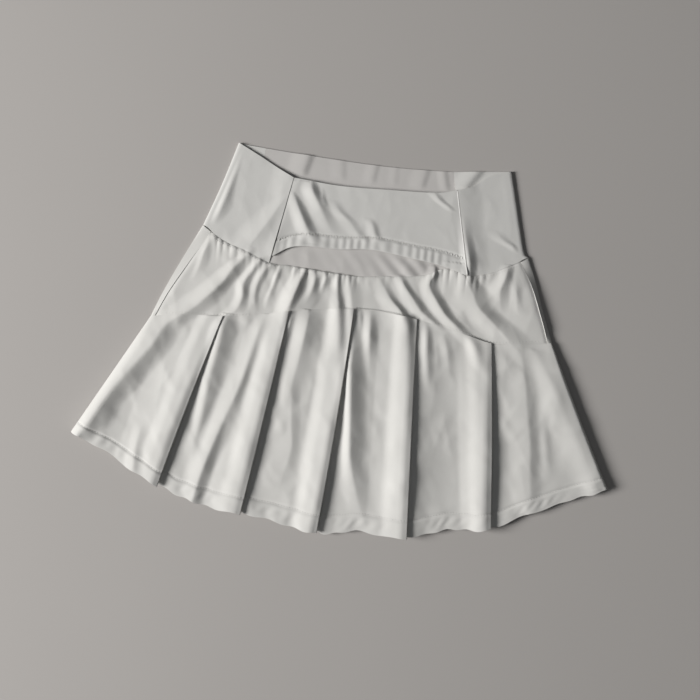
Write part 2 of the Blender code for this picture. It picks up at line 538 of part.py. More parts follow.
def main():
    """Clears the scene and makes the skirt's pieces."""
    for item in list(bpy.data.objects):
        bpy.data.objects.remove(item)
    skirt = bpy.data.collections.new("tennis_skirt")
    bpy.context.scene.collection.children.link(skirt)

    smooth_white = (0.60, 0.59, 0.57)
    knit_white = (0.62, 0.61, 0.59)
    add_cloth(skirt, "waist_side_left", left_waist_side(), WAIST_CLOTH, smooth_white)
    add_cloth(skirt, "waist_side_right", right_waist_side(), WAIST_CLOTH, smooth_white)
    add_cloth(skirt, "waist_back", waist_back(), WAIST_CLOTH, smooth_white)
    add_cloth(skirt, "waist_under", waist_under(), WAIST_CLOTH, smooth_white)
    add_cloth(skirt, "waist_flap", waist_flap(), WAIST_CLOTH, smooth_white)
    add_cloth(skirt, "yoke_back", back_yoke(), SKIRT_CLOTH, knit_white)
    add_cloth(skirt, "yoke_front", front_yoke(), SKIRT_CLOTH, knit_white)
    add_cloth(skirt, "skirt_back", back_flounce(), SKIRT_CLOTH, knit_white)
    add_cloth(skirt, "skirt_front", front_flounce(), SKIRT_CLOTH, knit_white)


main()
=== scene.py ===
"""Looks of the tennis skirt laid flat: its cloth, seams and stitches, with a floor, soft light and a camera.

Lengths are in millimetres in the skirt's own draft until placed() turns them into metres in the frame. X runs
across the skirt, Y from the hem to the waist and Z up from the floor. Every piece of cloth is a grid of
points through the middle of its wall: rows run down the cloth and columns run across it. Solidify gives the
grid its thickness. The front pieces share one height field, folds(), so that layers keep their distance.
"""

import bpy
import numpy as np
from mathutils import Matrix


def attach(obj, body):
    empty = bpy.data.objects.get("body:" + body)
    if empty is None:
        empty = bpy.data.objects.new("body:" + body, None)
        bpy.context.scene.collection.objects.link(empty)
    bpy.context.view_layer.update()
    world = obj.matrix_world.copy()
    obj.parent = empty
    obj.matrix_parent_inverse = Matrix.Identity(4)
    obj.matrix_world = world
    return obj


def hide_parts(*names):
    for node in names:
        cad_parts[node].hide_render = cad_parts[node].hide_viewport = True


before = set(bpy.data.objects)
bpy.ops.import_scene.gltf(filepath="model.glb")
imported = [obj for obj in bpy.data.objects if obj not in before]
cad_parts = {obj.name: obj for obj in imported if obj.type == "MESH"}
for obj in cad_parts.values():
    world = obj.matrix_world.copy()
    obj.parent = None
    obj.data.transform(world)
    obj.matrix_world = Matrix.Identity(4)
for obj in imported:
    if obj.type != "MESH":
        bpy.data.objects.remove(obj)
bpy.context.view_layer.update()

MM = 0.001

# Driving dimensions, as in the CAD
WAIST_CLOTH = 1.2  # doubled waistband cloth
SKIRT_CLOTH = 0.9  # yoke and flounce cloth
GAP = 0.2  # between layers
SEAM_GAP = 0.02  # between neighbours at a seam
CENTRE = (13.0, -7.7)  # the draft's point that is the frame's origin

# Heights of the cloth's middle over the floor
WAIST_BACK_Z = WAIST_CLOTH / 2
SKIRT_BACK_Z = SKIRT_CLOTH / 2
UNDER_Z = 2.4
SIDE_FRONT_Z = 3.0
SIDE_SEAM_RISE = 2.0  # how far a side panel rises to its seam with the flap
SIDE_SEAM_REACH = 26.0
FLAP_Z = 4.7
YOKE_TOP_Z = 3.2
YOKE_SIDE_Z = (2.5, 3.6)  # the yoke's top at its left and right strip
YOKE_RIGHT_LIFT = 2.2  # how much higher the yoke lies along its right strip
TURN = (SKIRT_CLOTH + GAP) / 2  # radius of a pleat's folded edge
FLOUNCE_Z = 4.6
FLOUNCE_EDGE_Z = 2.0
FLOUNCE_SEAM_ENDS = (-1.6, 0.4)  # how much higher the flounce's seam is at its left and right end
SIDE_SWELL = 2.4  # how much higher the flounce lies along its right side
SIDE_SWELL_REACH = 34.0
SIDE_ROLLS = (11.0, 3.2)  # how far in from its left and right side edge the front flounce bends down
STRIP_ROLL = 99.0  # a side strip bends down over its whole width
SIDE_FADE = 7.0  # how far in from a rolled side the folds are full
WAIST_ROLL = 4.0  # how far in from its side fold a waist panel bends down

# Outlines, each from the waist down
LEFT_WAIST = ((-126.5, 191.0), (-133.5, 166.0), (-142.0, 138.0), (-154.5, 101.5))
RIGHT_WAIST = ((160.0, 191.5), (167.5, 163.0), (176.0, 130.0), (182.2, 108.0), (187.2, 103.2))
LEFT_YOKE = ((-155.0, 101.0), (-175.5, 58.0), (-190.0, 25.0), (-199.0, 1.1))
RIGHT_YOKE = ((187.5, 103.0), (199.5, 72.0), (209.5, 45.0), (221.0, 17.1))
LEFT_STRIP = ((-146.0, 95.0), (-166.0, 60.0), (-183.0, 29.0), (-195.0, 1.65))
RIGHT_STRIP = ((180.0, 98.0), (195.0, 70.0), (206.0, 43.0), (216.5, 16.5))

# Edges across the waistband, each from left to right
NEAR_TOP_LEFT = ((-126.5, 191.0), (-103.0, 179.5), (-81.0, 168.0), (-65.5, 160.5))
FLAP_TOP = ((-65.0, 160.5), (-15.0, 157.0), (40.0, 158.5), (84.0, 160.5), (105.5, 165.5))
NEAR_TOP_RIGHT = ((106.5, 165.5), (122.0, 171.0), (139.0, 184.0), (160.0, 191.5))
FLAP_EDGE = (
    (-79.5, 76.5), (-56.0, 89.0), (-10.0, 91.0), (24.0, 94.0), (70.0, 89.0), (98.0, 85.0), (125.0, 77.5),
)
FAR_TOP = ((-98.0, 188.5), (-55.0, 186.0), (12.0, 183.0), (60.0, 183.0), (100.0, 184.5))
BACK_PANEL_FOOT = (-108.0, 120.0)

# The front waist seam. The left panel ends at the fourth point and the right panel starts at the fourteenth.
WAIST_SEAM = (
    (-146.0, 95.5), (-130.0, 86.5), (-106.0, 78.5), (-82.0, 69.0), (-60.0, 68.5), (-38.0, 67.0),
    (-12.0, 65.5), (15.0, 65.0), (38.0, 68.0), (62.0, 70.0), (84.0, 74.5), (100.0, 82.0), (116.0, 81.5),
    (126.5, 77.5), (150.0, 83.0), (165.0, 90.5), (180.0, 98.5),
)
UNDER_STARTS, UNDER_ENDS = 3, 13
UNDER_FLAT_ABOVE = 98.0  # the folds leave the middle panel over this y, where the flap hides it
UNDER_FLAT_FADE = 16.0

# The flounce, across at stations 0 to 6: the sides are at 0 and 6, and a pleat's edge at each station between
STATIONS = np.arange(0, 6.1, 0.5)
FLOUNCE_SEAM = (
    (-199.0, 1.0), (-161.0, 6.5), (-123.5, 8.5), (-89.0, 13.5), (-55.5, 21.0), (-22.5, 27.0), (11.5, 30.5),
    (45.0, 30.5), (78.0, 26.5), (117.0, 19.5), (158.0, 10.0), (188.0, 13.0), (221.0, 17.0),
)
FLOUNCE_MIDDLE = (
    (-234.0, -63.5), (-192.0, -71.0), (-150.0, -85.0), (-109.0, -88.0), (-69.5, -88.0), (-32.0, -88.0),
    (5.5, -88.0), (43.0, -86.0), (84.0, -87.0), (123.0, -84.0), (168.0, -86.0), (211.0, -71.0),
    (257.0, -55.5),
)
FRONT_HEM = (
    (-269.0, -128.0), (-222.0, -150.0), (-173.0, -175.5), (-129.0, -188.5), (-84.0, -195.5), (-43.0, -200.0),
    (-3.0, -207.0), (42.0, -200.5), (91.0, -202.0), (134.0, -189.0), (177.0, -182.5), (232.0, -156.0),
    (295.0, -129.0),
)
BACK_WAIST_SAG = 22.0  # how far the back's waist seam drops under a straight line between its ends
BACK_SEAM_BULGE = 12.0  # how far the back's flounce seam rises over one
BACK_HEM_SAG = 66.0  # how far the back's hem drops under one
BACK_INSET = 0.8  # how far the back's side edges lie inside the front's

# Knife pleats of the front: station, depth and width of the rise before the crest; then the crest's height
# and the width of the face from the crest to the folded edge, each at the seam, half way down and at the hem
FRONT_PLEATS = (
    (1, 14.0, 44.0, (2.2, 8.0, 7.5), (2.0, 6.0, 5.5)),
    (2, 12.0, 32.0, (2.6, 8.0, 7.5), (1.5, 5.0, 5.5)),
    (3, 16.0, 26.0, (2.6, 7.8, 8.6), (1.5, 4.0, 6.5)),
    (4, 14.0, 34.0, (4.2, 7.4, 7.6), (9.0, 6.0, 6.0)),
    (5, 13.0, 28.0, (2.6, 8.8, 8.5), (2.0, 6.5, 7.0)),
)
BACK_PLEATS = tuple((station, 14.0, 22.0, (4 * TURN,) * 3, (1.0,) * 3) for station in (1, 2, 3, 4, 5))
FACE_SLOPE = 0.42  # how steeply the face falls from a pleat's crest to its edge
CREST_ROUND = 1.5  # how broadly the crest is rounded
RISE_POWER = 1.15  # over 1, so that the rise is steepest just before the crest
STEP_IN = 13.0  # width of the step up on to a pleat's return
FLAT_AFTER = 30.0  # how far a panel takes to come out from under the pleat before it
UNDER_LIFT = 0.018  # share of its length by which the cloth under a pleat's edge is shorter

# Soft folds that run down the front, each from its upper end to its lower one. A point is five numbers: its x
# and y, the fold's height, and how far the fold reaches to its left and to its right.
FOLDS = {
    "left panel, rolled side": (
        -124, 188, 0, 3, 6,  -131, 162, 2.2, 4, 9,  -136, 148, 3.6, 4, 12,  -141, 134, 4.6, 4, 16,
        -147, 118, 4.0, 4, 20,  -152, 104, 0.6, 4, 14,
    ),
    "left panel, slope to the seam": (
        -70, 144, 0, 6, 4,  -84, 118, 1.8, 22, 12,  -96, 98, 3.0, 26, 18,  -104, 84, 2.4, 26, 24,
        -108, 70, 0, 26, 24,
    ),
    "flap, sinking to the left seam": (
        -60, 158, 0.6, 10, 14,  -66, 136, 0.6, 10, 14,  -72, 112, 0.8, 10, 14,  -77, 92, 0.8, 10, 14,
        -80, 76, 0.4, 10, 14,
    ),
    "flap, crease from the seam": (
        -65, 146, 0, 5, 3,  -58, 131, 2.7, 12, 9,  -48, 112, 3.7, 15, 11,  -43, 103, 2.8, 15, 12,
        -40, 94, 0, 14, 16,
    ),
    "flap, crease from the top": (
        -47, 158, 1.2, 10, 7,  -45, 150, 3.4, 14, 10,  -37, 136, 2.8, 15, 12,  -30, 124, 1.6, 15, 12,
        -21, 110, 0.7, 13, 12,  -15, 102, 0, 12, 10,
    ),
    "flap, small crease beside it": (
        -36, 154, 0, 4, 4,  -34, 148, 0.5, 4, 4,  -31, 138, 0.4, 4, 4,  -28, 132, 0, 4, 4,
    ),
    "flap, first small crease": (
        -22, 142, 0, 14, 10,  -14, 130, 1.3, 14, 9,  -2, 120, 1.0, 14, 10,  8, 108, 1.0, 14, 9,
        16, 100, 0, 14, 10,
    ),
    "flap, second small crease": (
        17, 127, 0, 10, 7,  22, 119, 1.2, 10, 7,  26, 109, 1.5, 10, 7,  32, 102, 0.5, 10, 7,
        35, 96, 0, 10, 7,
    ),
    "flap, crease to the right seam": (
        82, 160, 0.6, 10, 6,  90, 152, 1.1, 9, 7,  98, 147, 0.9, 9, 6,  104, 142, 0, 8, 6,
    ),
    "ridge beside the right seam": (
        115, 140, 0, 8, 8,  119, 120, 1.2, 9, 9,  123, 104, 2.6, 10, 10,  127, 86, 3.4, 10, 9,
        130, 68, 0, 9, 6,
    ),
    "right panel, soft crease to the side": (
        150, 128, 0, 14, 10,  160, 118, 1.0, 14, 10,  172, 112, 1.0, 12, 9,  180, 106, 0, 10, 8,
    ),
    "yoke, first diagonal, on to the flounce": (
        -100, 84, 0, 6, 6,  -108, 72, 2.0, 9, 9,  -118, 60, 4.2, 14, 14,  -127, 45, 4.8, 20, 12,
        -140, 30, 5.0, 24, 17,  -160, 10, 4.0, 28, 20,  -176, -1, 4.2, 32, 20,  -194, -30, 6.2, 40, 23,
        -216, -60, 7.2, 44, 25,  -236, -90, 7.8, 44, 23,  -252, -120, 8.0, 40, 23,  -265, -138, 4.6, 30, 20,
    ),
    "yoke, waved fold": (
        -91, 73, 0.8, 6, 5,  -98, 60, 2.6, 8, 7,  -106, 45, 3.0, 9, 9,  -106, 30, 3.0, 10, 8,
        -110, 18, 2.2, 12, 12,  -120, 6, 0.6, 12, 16,  -126, -4, 0, 9, 16,
    ),
    "yoke, fold right of the waved one": (
        -80, 68, 0.5, 8, 5,  -87, 58, 1.8, 8, 7,  -92, 44, 1.9, 8, 6,  -93, 30, 1.0, 8, 5,
        -90, 16, 0, 8, 5,
    ),
    "yoke, small fold beside it": (
        -70, 67, 0.4, 4, 5,  -72, 58, 1.6, 4, 5,  -75, 45, 1.2, 4, 5,  -79, 30, 0.8, 5, 7,
        -80, 20, 0, 5, 7,
    ),
    "yoke, small fold left of the steep one": (
        -54, 67, 0.4, 4, 4,  -55, 60, 1.1, 5, 4,  -57, 52, 0.5, 5, 4,  -58, 46, 0, 5, 4,
    ),
    "yoke, soft fold by the left strip": (
        -146, 92, 0.5, 6, 9,  -150, 75, 1.2, 6, 9,  -155, 55, 0.8, 6, 9,  -160, 40, 0, 6, 9,
    ),
    "yoke, steep fold over the second pleat": (
        -43, 67, 0.6, 7, 5,  -46, 59, 3.0, 11, 6,  -50, 45, 3.8, 15, 8,  -55, 30, 2.4, 15, 8,
        -59, 18, 1.0, 14, 8,  -60, 6, 0, 14, 8,
    ),
    "yoke, short fold in the hollow": (
        -33, 67, 0.6, 5, 5,  -32, 59, 2.2, 6, 6,  -34, 46, 2.2, 7, 9,  -37, 36, 0.8, 8, 12,
        -40, 28, 0, 8, 12,
    ),
    "yoke, small fold in the hollow": (
        -22, 67, 0.5, 4, 5,  -21, 59, 1.9, 4, 6,  -23, 50, 1.0, 5, 7,  -25, 42, 0, 5, 7,
    ),
    "hollow right of it": (
        -46, 62, 0.4, 8, 14,  -50, 46, 2.8, 16, 34,  -54, 30, 4.6, 18, 42,  -57, 14, 3.6, 16, 40,
        -61, -12, 1.6, 14, 34,  -68, -46, 0, 14, 30,
    ),
    "upright fold, yoke to the third pleat's crest": (
        -10, 66, 0.6, 5, 5,  -9, 58, 2.0, 6, 5,  -7, 44, 2.0, 9, 6,  -4, 25, 3.0, 12, 9,  -1, 2, 3.0, 14, 9,
        0, -20, 1.4, 14, 9,  0, -45, 0, 14, 8,
    ),
    "broad upright fold, on along the third pleat": (
        1, 66, 0.5, 4, 5,  4, 56, 1.6, 7, 12,  7, 44, 1.5, 7, 14,  10, 28, 1.8, 8, 12,  13, 2, 3.0, 8, 14,
        14, -28, 4.2, 7, 18,  17, -60, 4.8, 7, 19,  20, -90, 4.8, 8, 20,  23, -120, 4.4, 10, 20,
        31, -150, 2.8, 14, 20,  44, -185, 1.2, 18, 20,  54, -206, 0.4, 20, 20,
    ),
    "flounce, slow slope right of it": (
        12, -10, 0.6, 14, 36,  14, -40, 2.4, 16, 42,  18, -90, 3.0, 16, 44,  22, -130, 2.2, 18, 42,
        28, -165, 0.8, 18, 34,  34, -200, 0, 18, 34,
    ),
    "yoke, diagonal over the fourth pleat": (
        34, 66, 0.3, 9, 9,  42, 54, 1.8, 15, 10,  49, 44, 3.2, 18, 10,  60, 33, 4.0, 21, 9,
        66, 22, 3.2, 20, 10,  69, 4, 1.0, 18, 10,  71, -14, 0, 18, 8,
    ),
    "yoke, middle diagonal": (
        55, 71, 0.6, 7, 7,  60, 62, 2.2, 10, 8,  71, 48, 2.8, 14, 10,  83, 34, 2.8, 14, 13,
        96, 25, 1.6, 12, 10,  108, 16, 0, 12, 9,
    ),
    "yoke, deep diagonal": (
        91, 84, 1.0, 9, 4,  91, 76, 3.2, 10, 5,  87, 65, 3.2, 12, 11,  96, 48, 4.2, 15, 12,
        108, 33, 4.0, 16, 12,  124, 20, 2.4, 16, 12,  138, 8, 1.2, 14, 12,  148, -6, 0, 13, 11,
    ),
    "yoke, large puff": (
        116, 90, 1.4, 22, 12,  124, 74, 3.2, 28, 15,  133, 59, 4.4, 36, 24,  140, 46, 4.8, 34, 22,
        157, 31, 4.4, 30, 26,  172, 18, 2.8, 27, 30,  186, 4, 1.2, 22, 30,  196, -10, 0, 20, 26,
    ),
    "yoke, small puff": (
        168, 94, 0.4, 9, 7,  165, 80, 3.2, 12, 9,  161, 64, 3.0, 15, 13,  163, 52, 1.2, 14, 12,
        166, 42, 0, 14, 11,
    ),
    "yoke, faint fold by the right strip": (
        176, 84, 0, 9, 6,  178, 68, 1.0, 9, 7,  180, 54, 0.8, 9, 7,  182, 42, 0, 9, 7,
    ),
    "flounce, short fold left of the first pleat": (
        -194, -108, 0, 10, 9,  -199, -135, 1.8, 12, 10,  -199, -155, 2.6, 12, 11,  -197, -172, 1.2, 12, 10,
    ),
    "flounce, ridge right of the first pleat": (
        -120, 12, 1.0, 8, 14,  -122, 0, 4.4, 14, 18,  -126, -28, 5.0, 14, 18,  -131, -60, 4.4, 14, 17,
        -134, -90, 3.2, 12, 13,  -138, -120, 1.8, 11, 10,  -142, -148, 0, 11, 9,
    ),
    "flounce, ridge between the first two pleats": (
        -78, 16, 0.5, 9, 9,  -84, 0, 2.0, 14, 10,  -91, -30, 2.8, 16, 9,  -98, -60, 3.4, 18, 9,
        -108, -90, 4.4, 20, 13,  -118, -120, 5.0, 20, 15,  -127, -150, 4.8, 20, 13,
        -136, -190, 3.2, 17, 13,
    ),
    "flounce, small ridge right of the second pleat": (
        -52, 20, 0.3, 3, 5,  -55, 6, 1.8, 3, 6,  -58, -8, 1.2, 3, 6,  -60, -22, 0, 3, 6,
    ),
    "flounce, ridge right of the second pleat": (
        -34, 25, 1.0, 14, 14,  -36, 4, 4.8, 16, 22,  -40, -28, 4.0, 16, 26,  -45, -56, 1.8, 15, 20,
        -50, -80, 0, 12, 14,
    ),
    "flounce, dent left of the third pleat": (
        -45, -44, 0, 14, 10,  -43, -72, 1.6, 20, 11,  -41, -95, 2.0, 23, 11,  -38, -120, 1.8, 24, 10,
        -44, -150, 0.8, 24, 12,  -50, -180, 0, 24, 12,
    ),
    "flounce, short fold under the seam": (
        29, 30, 0.4, 9, 7,  30, 14, 2.2, 9, 9,  31, 0, 2.8, 9, 11,  33, -16, 1.4, 9, 12,  35, -32, 0, 9, 12,
    ),
    "flounce, tuck under the seam": (
        18, 30, 0.4, 4, 4,  19, 22, 1.2, 4, 4,  20, 12, 0.6, 4, 5,  21, 4, 0, 4, 5,
    ),
    "flounce, fold right of the fourth pleat": (
        88, 24, 0.6, 5, 6,  90, 8, 2.4, 6, 8,  92, -10, 2.4, 7, 9,  96, -32, 1.0, 8, 9,  100, -50, 0, 8, 10,
    ),
    "flounce, slow slope right of the fourth pleat": (
        76, 8, 0, 20, 30,  79, -20, 2.4, 24, 36,  81, -50, 3.2, 26, 44,  83, -85, 3.6, 28, 46,
        86, -120, 3.8, 28, 46,  89, -160, 3.4, 28, 44,  92, -204, 2.0, 26, 40,
    ),
    "flounce, faint fold beside it": (
        106, 16, 0, 9, 8,  111, 4, 1.1, 9, 8,  116, -16, 0.8, 9, 8,  119, -32, 0, 9, 8,
    ),
    "flounce, short fold left of the fifth pleat": (
        134, 17, 0, 8, 8,  139, 5, 1.8, 9, 9,  144, -8, 1.4, 9, 9,  149, -22, 0, 8, 8,
    ),
    "flounce, ridge right of the fifth pleat": (
        190, 6, 0.3, 14, 11,  198, -30, 2.4, 24, 15,  203, -60, 2.6, 26, 14,  209, -90, 2.6, 26, 13,
        212, -120, 2.4, 26, 13,  219, -165, 1.2, 22, 18,
    ),
    "flounce, small ridge beside it": (
        221, -58, 0, 8, 6,  225, -82, 1.0, 9, 7,  229, -104, 0.8, 9, 7,  234, -128, 0, 9, 7,
    ),
    "flounce, right diagonal": (
        204, 8, 0.8, 14, 16,  224, -25, 2.4, 24, 30,  243, -60, 2.8, 30, 30,  260, -87, 2.6, 30, 30,
        281, -130, 1.4, 24, 30,
    ),
}

CREST_SHAPE = (1.5, 1.0)  # c of folds(), left and right of a crest: 2 is round, and less is crisper

# The cloth's slight unevenness: how many waves, the seed they are drawn with, their lengths, how steep they
# are, and the patches they lie in
UNEVEN_WAVES = 14
UNEVEN_SEED = 7
UNEVEN_LENGTHS = (24.0, 70.0)
UNEVEN_SLOPE = 0.035
PATCH_LENGTHS = (50.0, 130.0)

# The far waistband's soft upright creases: x, height, reach to the left and to the right, and slant
BAND_CREASES = (
    (-57.0, 1.5, 20.0, 8.0, 0.25), (-17.0, 0.5, 14.0, 7.0, -0.1), (16.0, 0.6, 12.0, 6.0, 0.15),
    (39.0, 0.25, 8.0, 6.0, 0.0), (68.0, 0.8, 16.0, 7.0, 0.2), (93.0, 0.6, 9.0, 6.0, -0.25),
)

BAND_SHOWS = (161.0, 8.0)  # the creases start at this y and are full so much further up
BAND_CREASE_Y = 170.0  # where a crease is at its own x

BAND_END_CREST = (113.0, 169.0, 0.63)  # the right end's crest: a point in x and y, and its slant
BAND_END_HEIGHT = 2.1
BAND_END_REACH = (20.0, 9.0)  # to its left and to its right
BAND_END_SHOWS = (164.0, 6.0)

# Gathers of the yoke under the waist seam: their pitch, how far down they fade out, and height at each x
GATHER_PITCH = 8.4
GATHER_FADE = 12.0
STRIP_GROOVE = 0.7  # how far the yoke dips to its seams with the side strips
STRIP_GROOVE_REACH = 2.0
YOKE_PUFF = 0.9  # how far the yoke puffs up just below its waist seam
YOKE_PUFF_REACH = 2.0
GATHER_X = (-150, -138, -118, -100, -78, -62, -40, -10, 6, 24, 45, 70, 100, 130, 150, 175)
GATHER_HEIGHT = (0.1, 1.1, 1.2, 0.5, 0.8, 0.8, 1.3, 1.2, 0.8, 0.3, 0.3, 0.2, 0.9, 1.2, 0.8, 0.2)

# The middle panel's drag folds: their pitch along x and height at each x
DRAG_PITCH = 17.0
DRAG_X = (-80, -40, -10, 25, 50, 80, 92)
DRAG_HEIGHT = (0.15, 0.08, 0.1, 0.2, 0.9, 0.8, 0.0)

# The flap's ripples between its stitched line and its free edge
FLAP_STITCH_SHARE = 0.80
RIPPLE_PITCH = 9.6
RIPPLE_HEIGHT = 0.55
FLAP_EDGE_LIFT = 1.6  # how far the free edge rises, most at FLAP_LIFT_X and over FLAP_LIFT_REACH beside it
FLAP_LIFT_X = -42
FLAP_LIFT_REACH = 38
FLAP_GROOVE = 0.8  # depth of the dip along its stitches

# The hem's turned-up allowance, as a share of the flounce's length
HEM_SHARE = 0.080
HEM_EXTRA = 0.5  # the second layer's height
HEM_GROOVE = 0.95  # depth of the dip along the hem's stitches
HEM_PUCKER = 0.34  # height of the small slanted puckers between the hem's stitches and its edge
HEM_WAVES_FROM = 0.86  # the share down from which the edge waves grow
HEM_WAVE_HEIGHT = 0.28
HEM_WAVE_DROP = 0.8

# Where the flounce seam's stitches show: overlocked between the first two, plain outside the other two
OVERLOCK_X = (12.0, 67.0)
PLAIN_SEAM_X = (-95.0, 95.0)

# How finely the walls are made
FLOUNCE_ROWS = 92
YOKE_ROWS = 72
WAIST_ROWS = 76
TURN_STEPS = 8
EDGE_DISTANCES = np.array((0.0, 0.3, 0.8, 1.6, 2.6, 4.0, 5.6, 7.4, 9.4, 11.6))
HEM_ROWS = 14
EDGE_ROUND = 0.12  # radius of the cloth's cut edges

# Stitches: a running one's pitch, share of the pitch left open at each end, and thread radius; a zigzag one's
# pitch, width and thread radius
HEM_RUNNING = (3.0, 0.14, 0.32)
SEAM_RUNNING = (3.4, 0.2, 0.16)
GATHER_RUNNING = (3.2, 0.2, 0.16)
FLAP_ZIGZAG = (2.9, 4.0, 0.42)
SEAM_ZIGZAG = (1.4, 2.0, 0.2)
THREAD_CLEAR = 0.1  # how far a thread's middle lies over the cloth
THREAD_ARCH = 0.25
PIPING_RADIUS = 1.0
PIPING_SHIFT = (0.3, 0.0, -0.1)

# Light and camera, in metres, degrees and watts
KEY_AZIMUTH = 189.0
KEY_ELEVATION = 30.0
KEY_DISTANCE = 3.6
KEY_SIZE = 1.5
KEY_POWER = 188.0
FILL_STRENGTH = 0.05
TOP_POWER = 5.0
TOP_SIZE = 2.4
TOP_HEIGHT = 2.6
CAMERA_HEIGHT = 1.1
VIEW_WIDTH = 0.735  # what the camera sees across on the floor
SENSOR = 36.0  # millimetres
CAMERA_OVER = (-0.0011, -0.0048)
CAMERA_TURN = 6.1
FLOOR_HALF = 4.0
FLOOR_Z = -0.0004


def smooth(t):
    """0 up to t = 0, 1 from t = 1 on, and an S curve between them."""
    t = np.clip(t, 0.0, 1.0)
    return t * t * (3 - 2 * t)


def bump(distance, width):
    """1 at distance 0, falling to 0 in an S curve at that width on either side."""
    return smooth(1 - np.abs(distance) / width)


def apart(a, b):
    """How far apart the points of two arrays are, one by one."""
    return np.linalg.norm(a - b, axis=-1)


def through(knots, values, at):
    """The smooth curve through the values at the knots: cubic pieces whose slopes match at each knot."""
    knots = np.asarray(knots, float)
    values = np.asarray(values, float)
    slopes = np.gradient(values, knots, axis=0)
    at = np.clip(at, knots[0], knots[-1])
    first = np.clip(np.searchsorted(knots, at, side="right") - 1, 0, len(knots) - 2)
    step = knots[first + 1] - knots[first]
    t = (at - knots[first]) / step
    if values.ndim > 1:
        t, step = t[..., None], step[..., None]
    start, end = values[first], values[first + 1]
    start_slope, end_slope = slopes[first] * step, slopes[first + 1] * step
    return (
        (2 * t**3 - 3 * t**2 + 1) * start
        + (t**3 - 2 * t**2 + t) * start_slope
        + (3 * t**2 - 2 * t**3) * end
        + (t**3 - t**2) * end_slope
    )


def along(points, share):
    """The point at each share, 0 to 1, of the curve through the points, which are equally far apart in it."""
    share = np.asarray(share, float)
    return through(np.arange(len(points)), points, share * (len(points) - 1))


def folds(x, y):
    """Height that the soft folds add, and the unevenness. At each y a fold has its crest at some x, and falls
    off on both sides as (1 - d) squared times (1 + c d), where d is the share of its reach and c says how
    round the crest is."""
    total = np.zeros_like(x)
    for points in FOLDS.values():
        points = np.reshape(points, (-1, 5)).astype(float)[::-1]
        crest, height, left, right = np.moveaxis(through(points[:, 1], points[:, [0, 2, 3, 4]], y), -1, 0)
        reach = np.where(x < crest, left, right)
        inside = (y >= points[0, 1]) & (y <= points[-1, 1])
        away = np.clip(np.abs(x - crest) / reach, 0, 1)
        crispness = np.where(x < crest, *CREST_SHAPE)
        total += np.where(inside, np.maximum(height, 0) * (1 - away) ** 2 * (1 + crispness * away), 0)
    return total + uneven(x, y)


def uneven(x, y):
    """The cloth's slight unevenness: waves with crisp crests, each in its own patches of the cloth, with
    seeded directions, lengths and phases. The firm waistband is smoother than the rest."""
    draws = np.random.default_rng(UNEVEN_SEED)
    total = np.zeros_like(x)
    for _ in range(UNEVEN_WAVES):
        length, patch = draws.uniform(*UNEVEN_LENGTHS), draws.uniform(*PATCH_LENGTHS)
        turn, phase, patch_turn, patch_phase = draws.uniform(-1.0, 1.0, 4) * (0.9, np.pi, np.pi, np.pi)
        ridge = 1 - np.abs(np.sin(np.pi * (x * np.cos(turn) + y * np.sin(turn)) / length + phase))
        spread = np.sin(2 * np.pi * (x * np.cos(patch_turn) + y * np.sin(patch_turn)) / patch + patch_phase)
        across = np.sin(2 * np.pi * (y * np.cos(patch_turn) - x * np.sin(patch_turn)) / patch + phase)
        total += length / np.pi * ridge**1.3 * smooth(spread + across - 0.5)
    return UNEVEN_SLOPE * total * (1 - 0.6 * smooth((y - 60.0) / 40.0))


def gathers(x, below):
    """Puckers under the waist seam: round puffs with sharp valleys, uneven along x, fading out below it."""
    phase = x / GATHER_PITCH + 0.55 * np.sin(x / 17.0) + 0.3 * np.sin(x / 7.3)
    puff = np.abs(np.sin(np.pi * phase)) ** 0.8
    reach = GATHER_FADE * (0.7 + 0.5 * np.sin(x / 5.1) ** 2)
    fade = np.exp(-((below / reach) ** 2)) * smooth(below / 1.2 + 0.5)
    return through(GATHER_X, GATHER_HEIGHT, x) * puff * fade


def drags(x, y):
    """Slanting drag folds of the middle panel, which fade out under the flap."""
    wave = 0.5 + 0.5 * np.cos(2 * np.pi * ((x + 0.9 * (y - 70)) / DRAG_PITCH + 0.2 * np.sin(x / 19.0)))
    return through(DRAG_X, DRAG_HEIGHT, x) * wave


def ruled(top, bottom, rows=WAIST_ROWS):
    """Straight threads between the same columns of a top and a bottom edge."""
    v = np.linspace(0, 1, rows + 1)[:, None, None]
    return (1 - v) * top + v * bottom


def parabola(values, v):
    """A parabola through three values, at the seam, half way down and at the hem, read at shares v down."""
    seam, middle, hem = values
    return (1 - v) * (1 - 2 * v) * seam + 4 * v * (1 - v) * middle + v * (2 * v - 1) * hem


def flounce_place(line_rows, station, v):
    """Plan point at a station and a share v of the way down the flounce."""
    return parabola((through(STATIONS, line, station) for line in line_rows), v[..., None])


def ramp(t):
    """0 for t far under 0 and t for t far over 0, with a rounded corner of CREST_ROUND between them."""
    return (t + np.sqrt(t * t + CREST_ROUND**2)) / 2


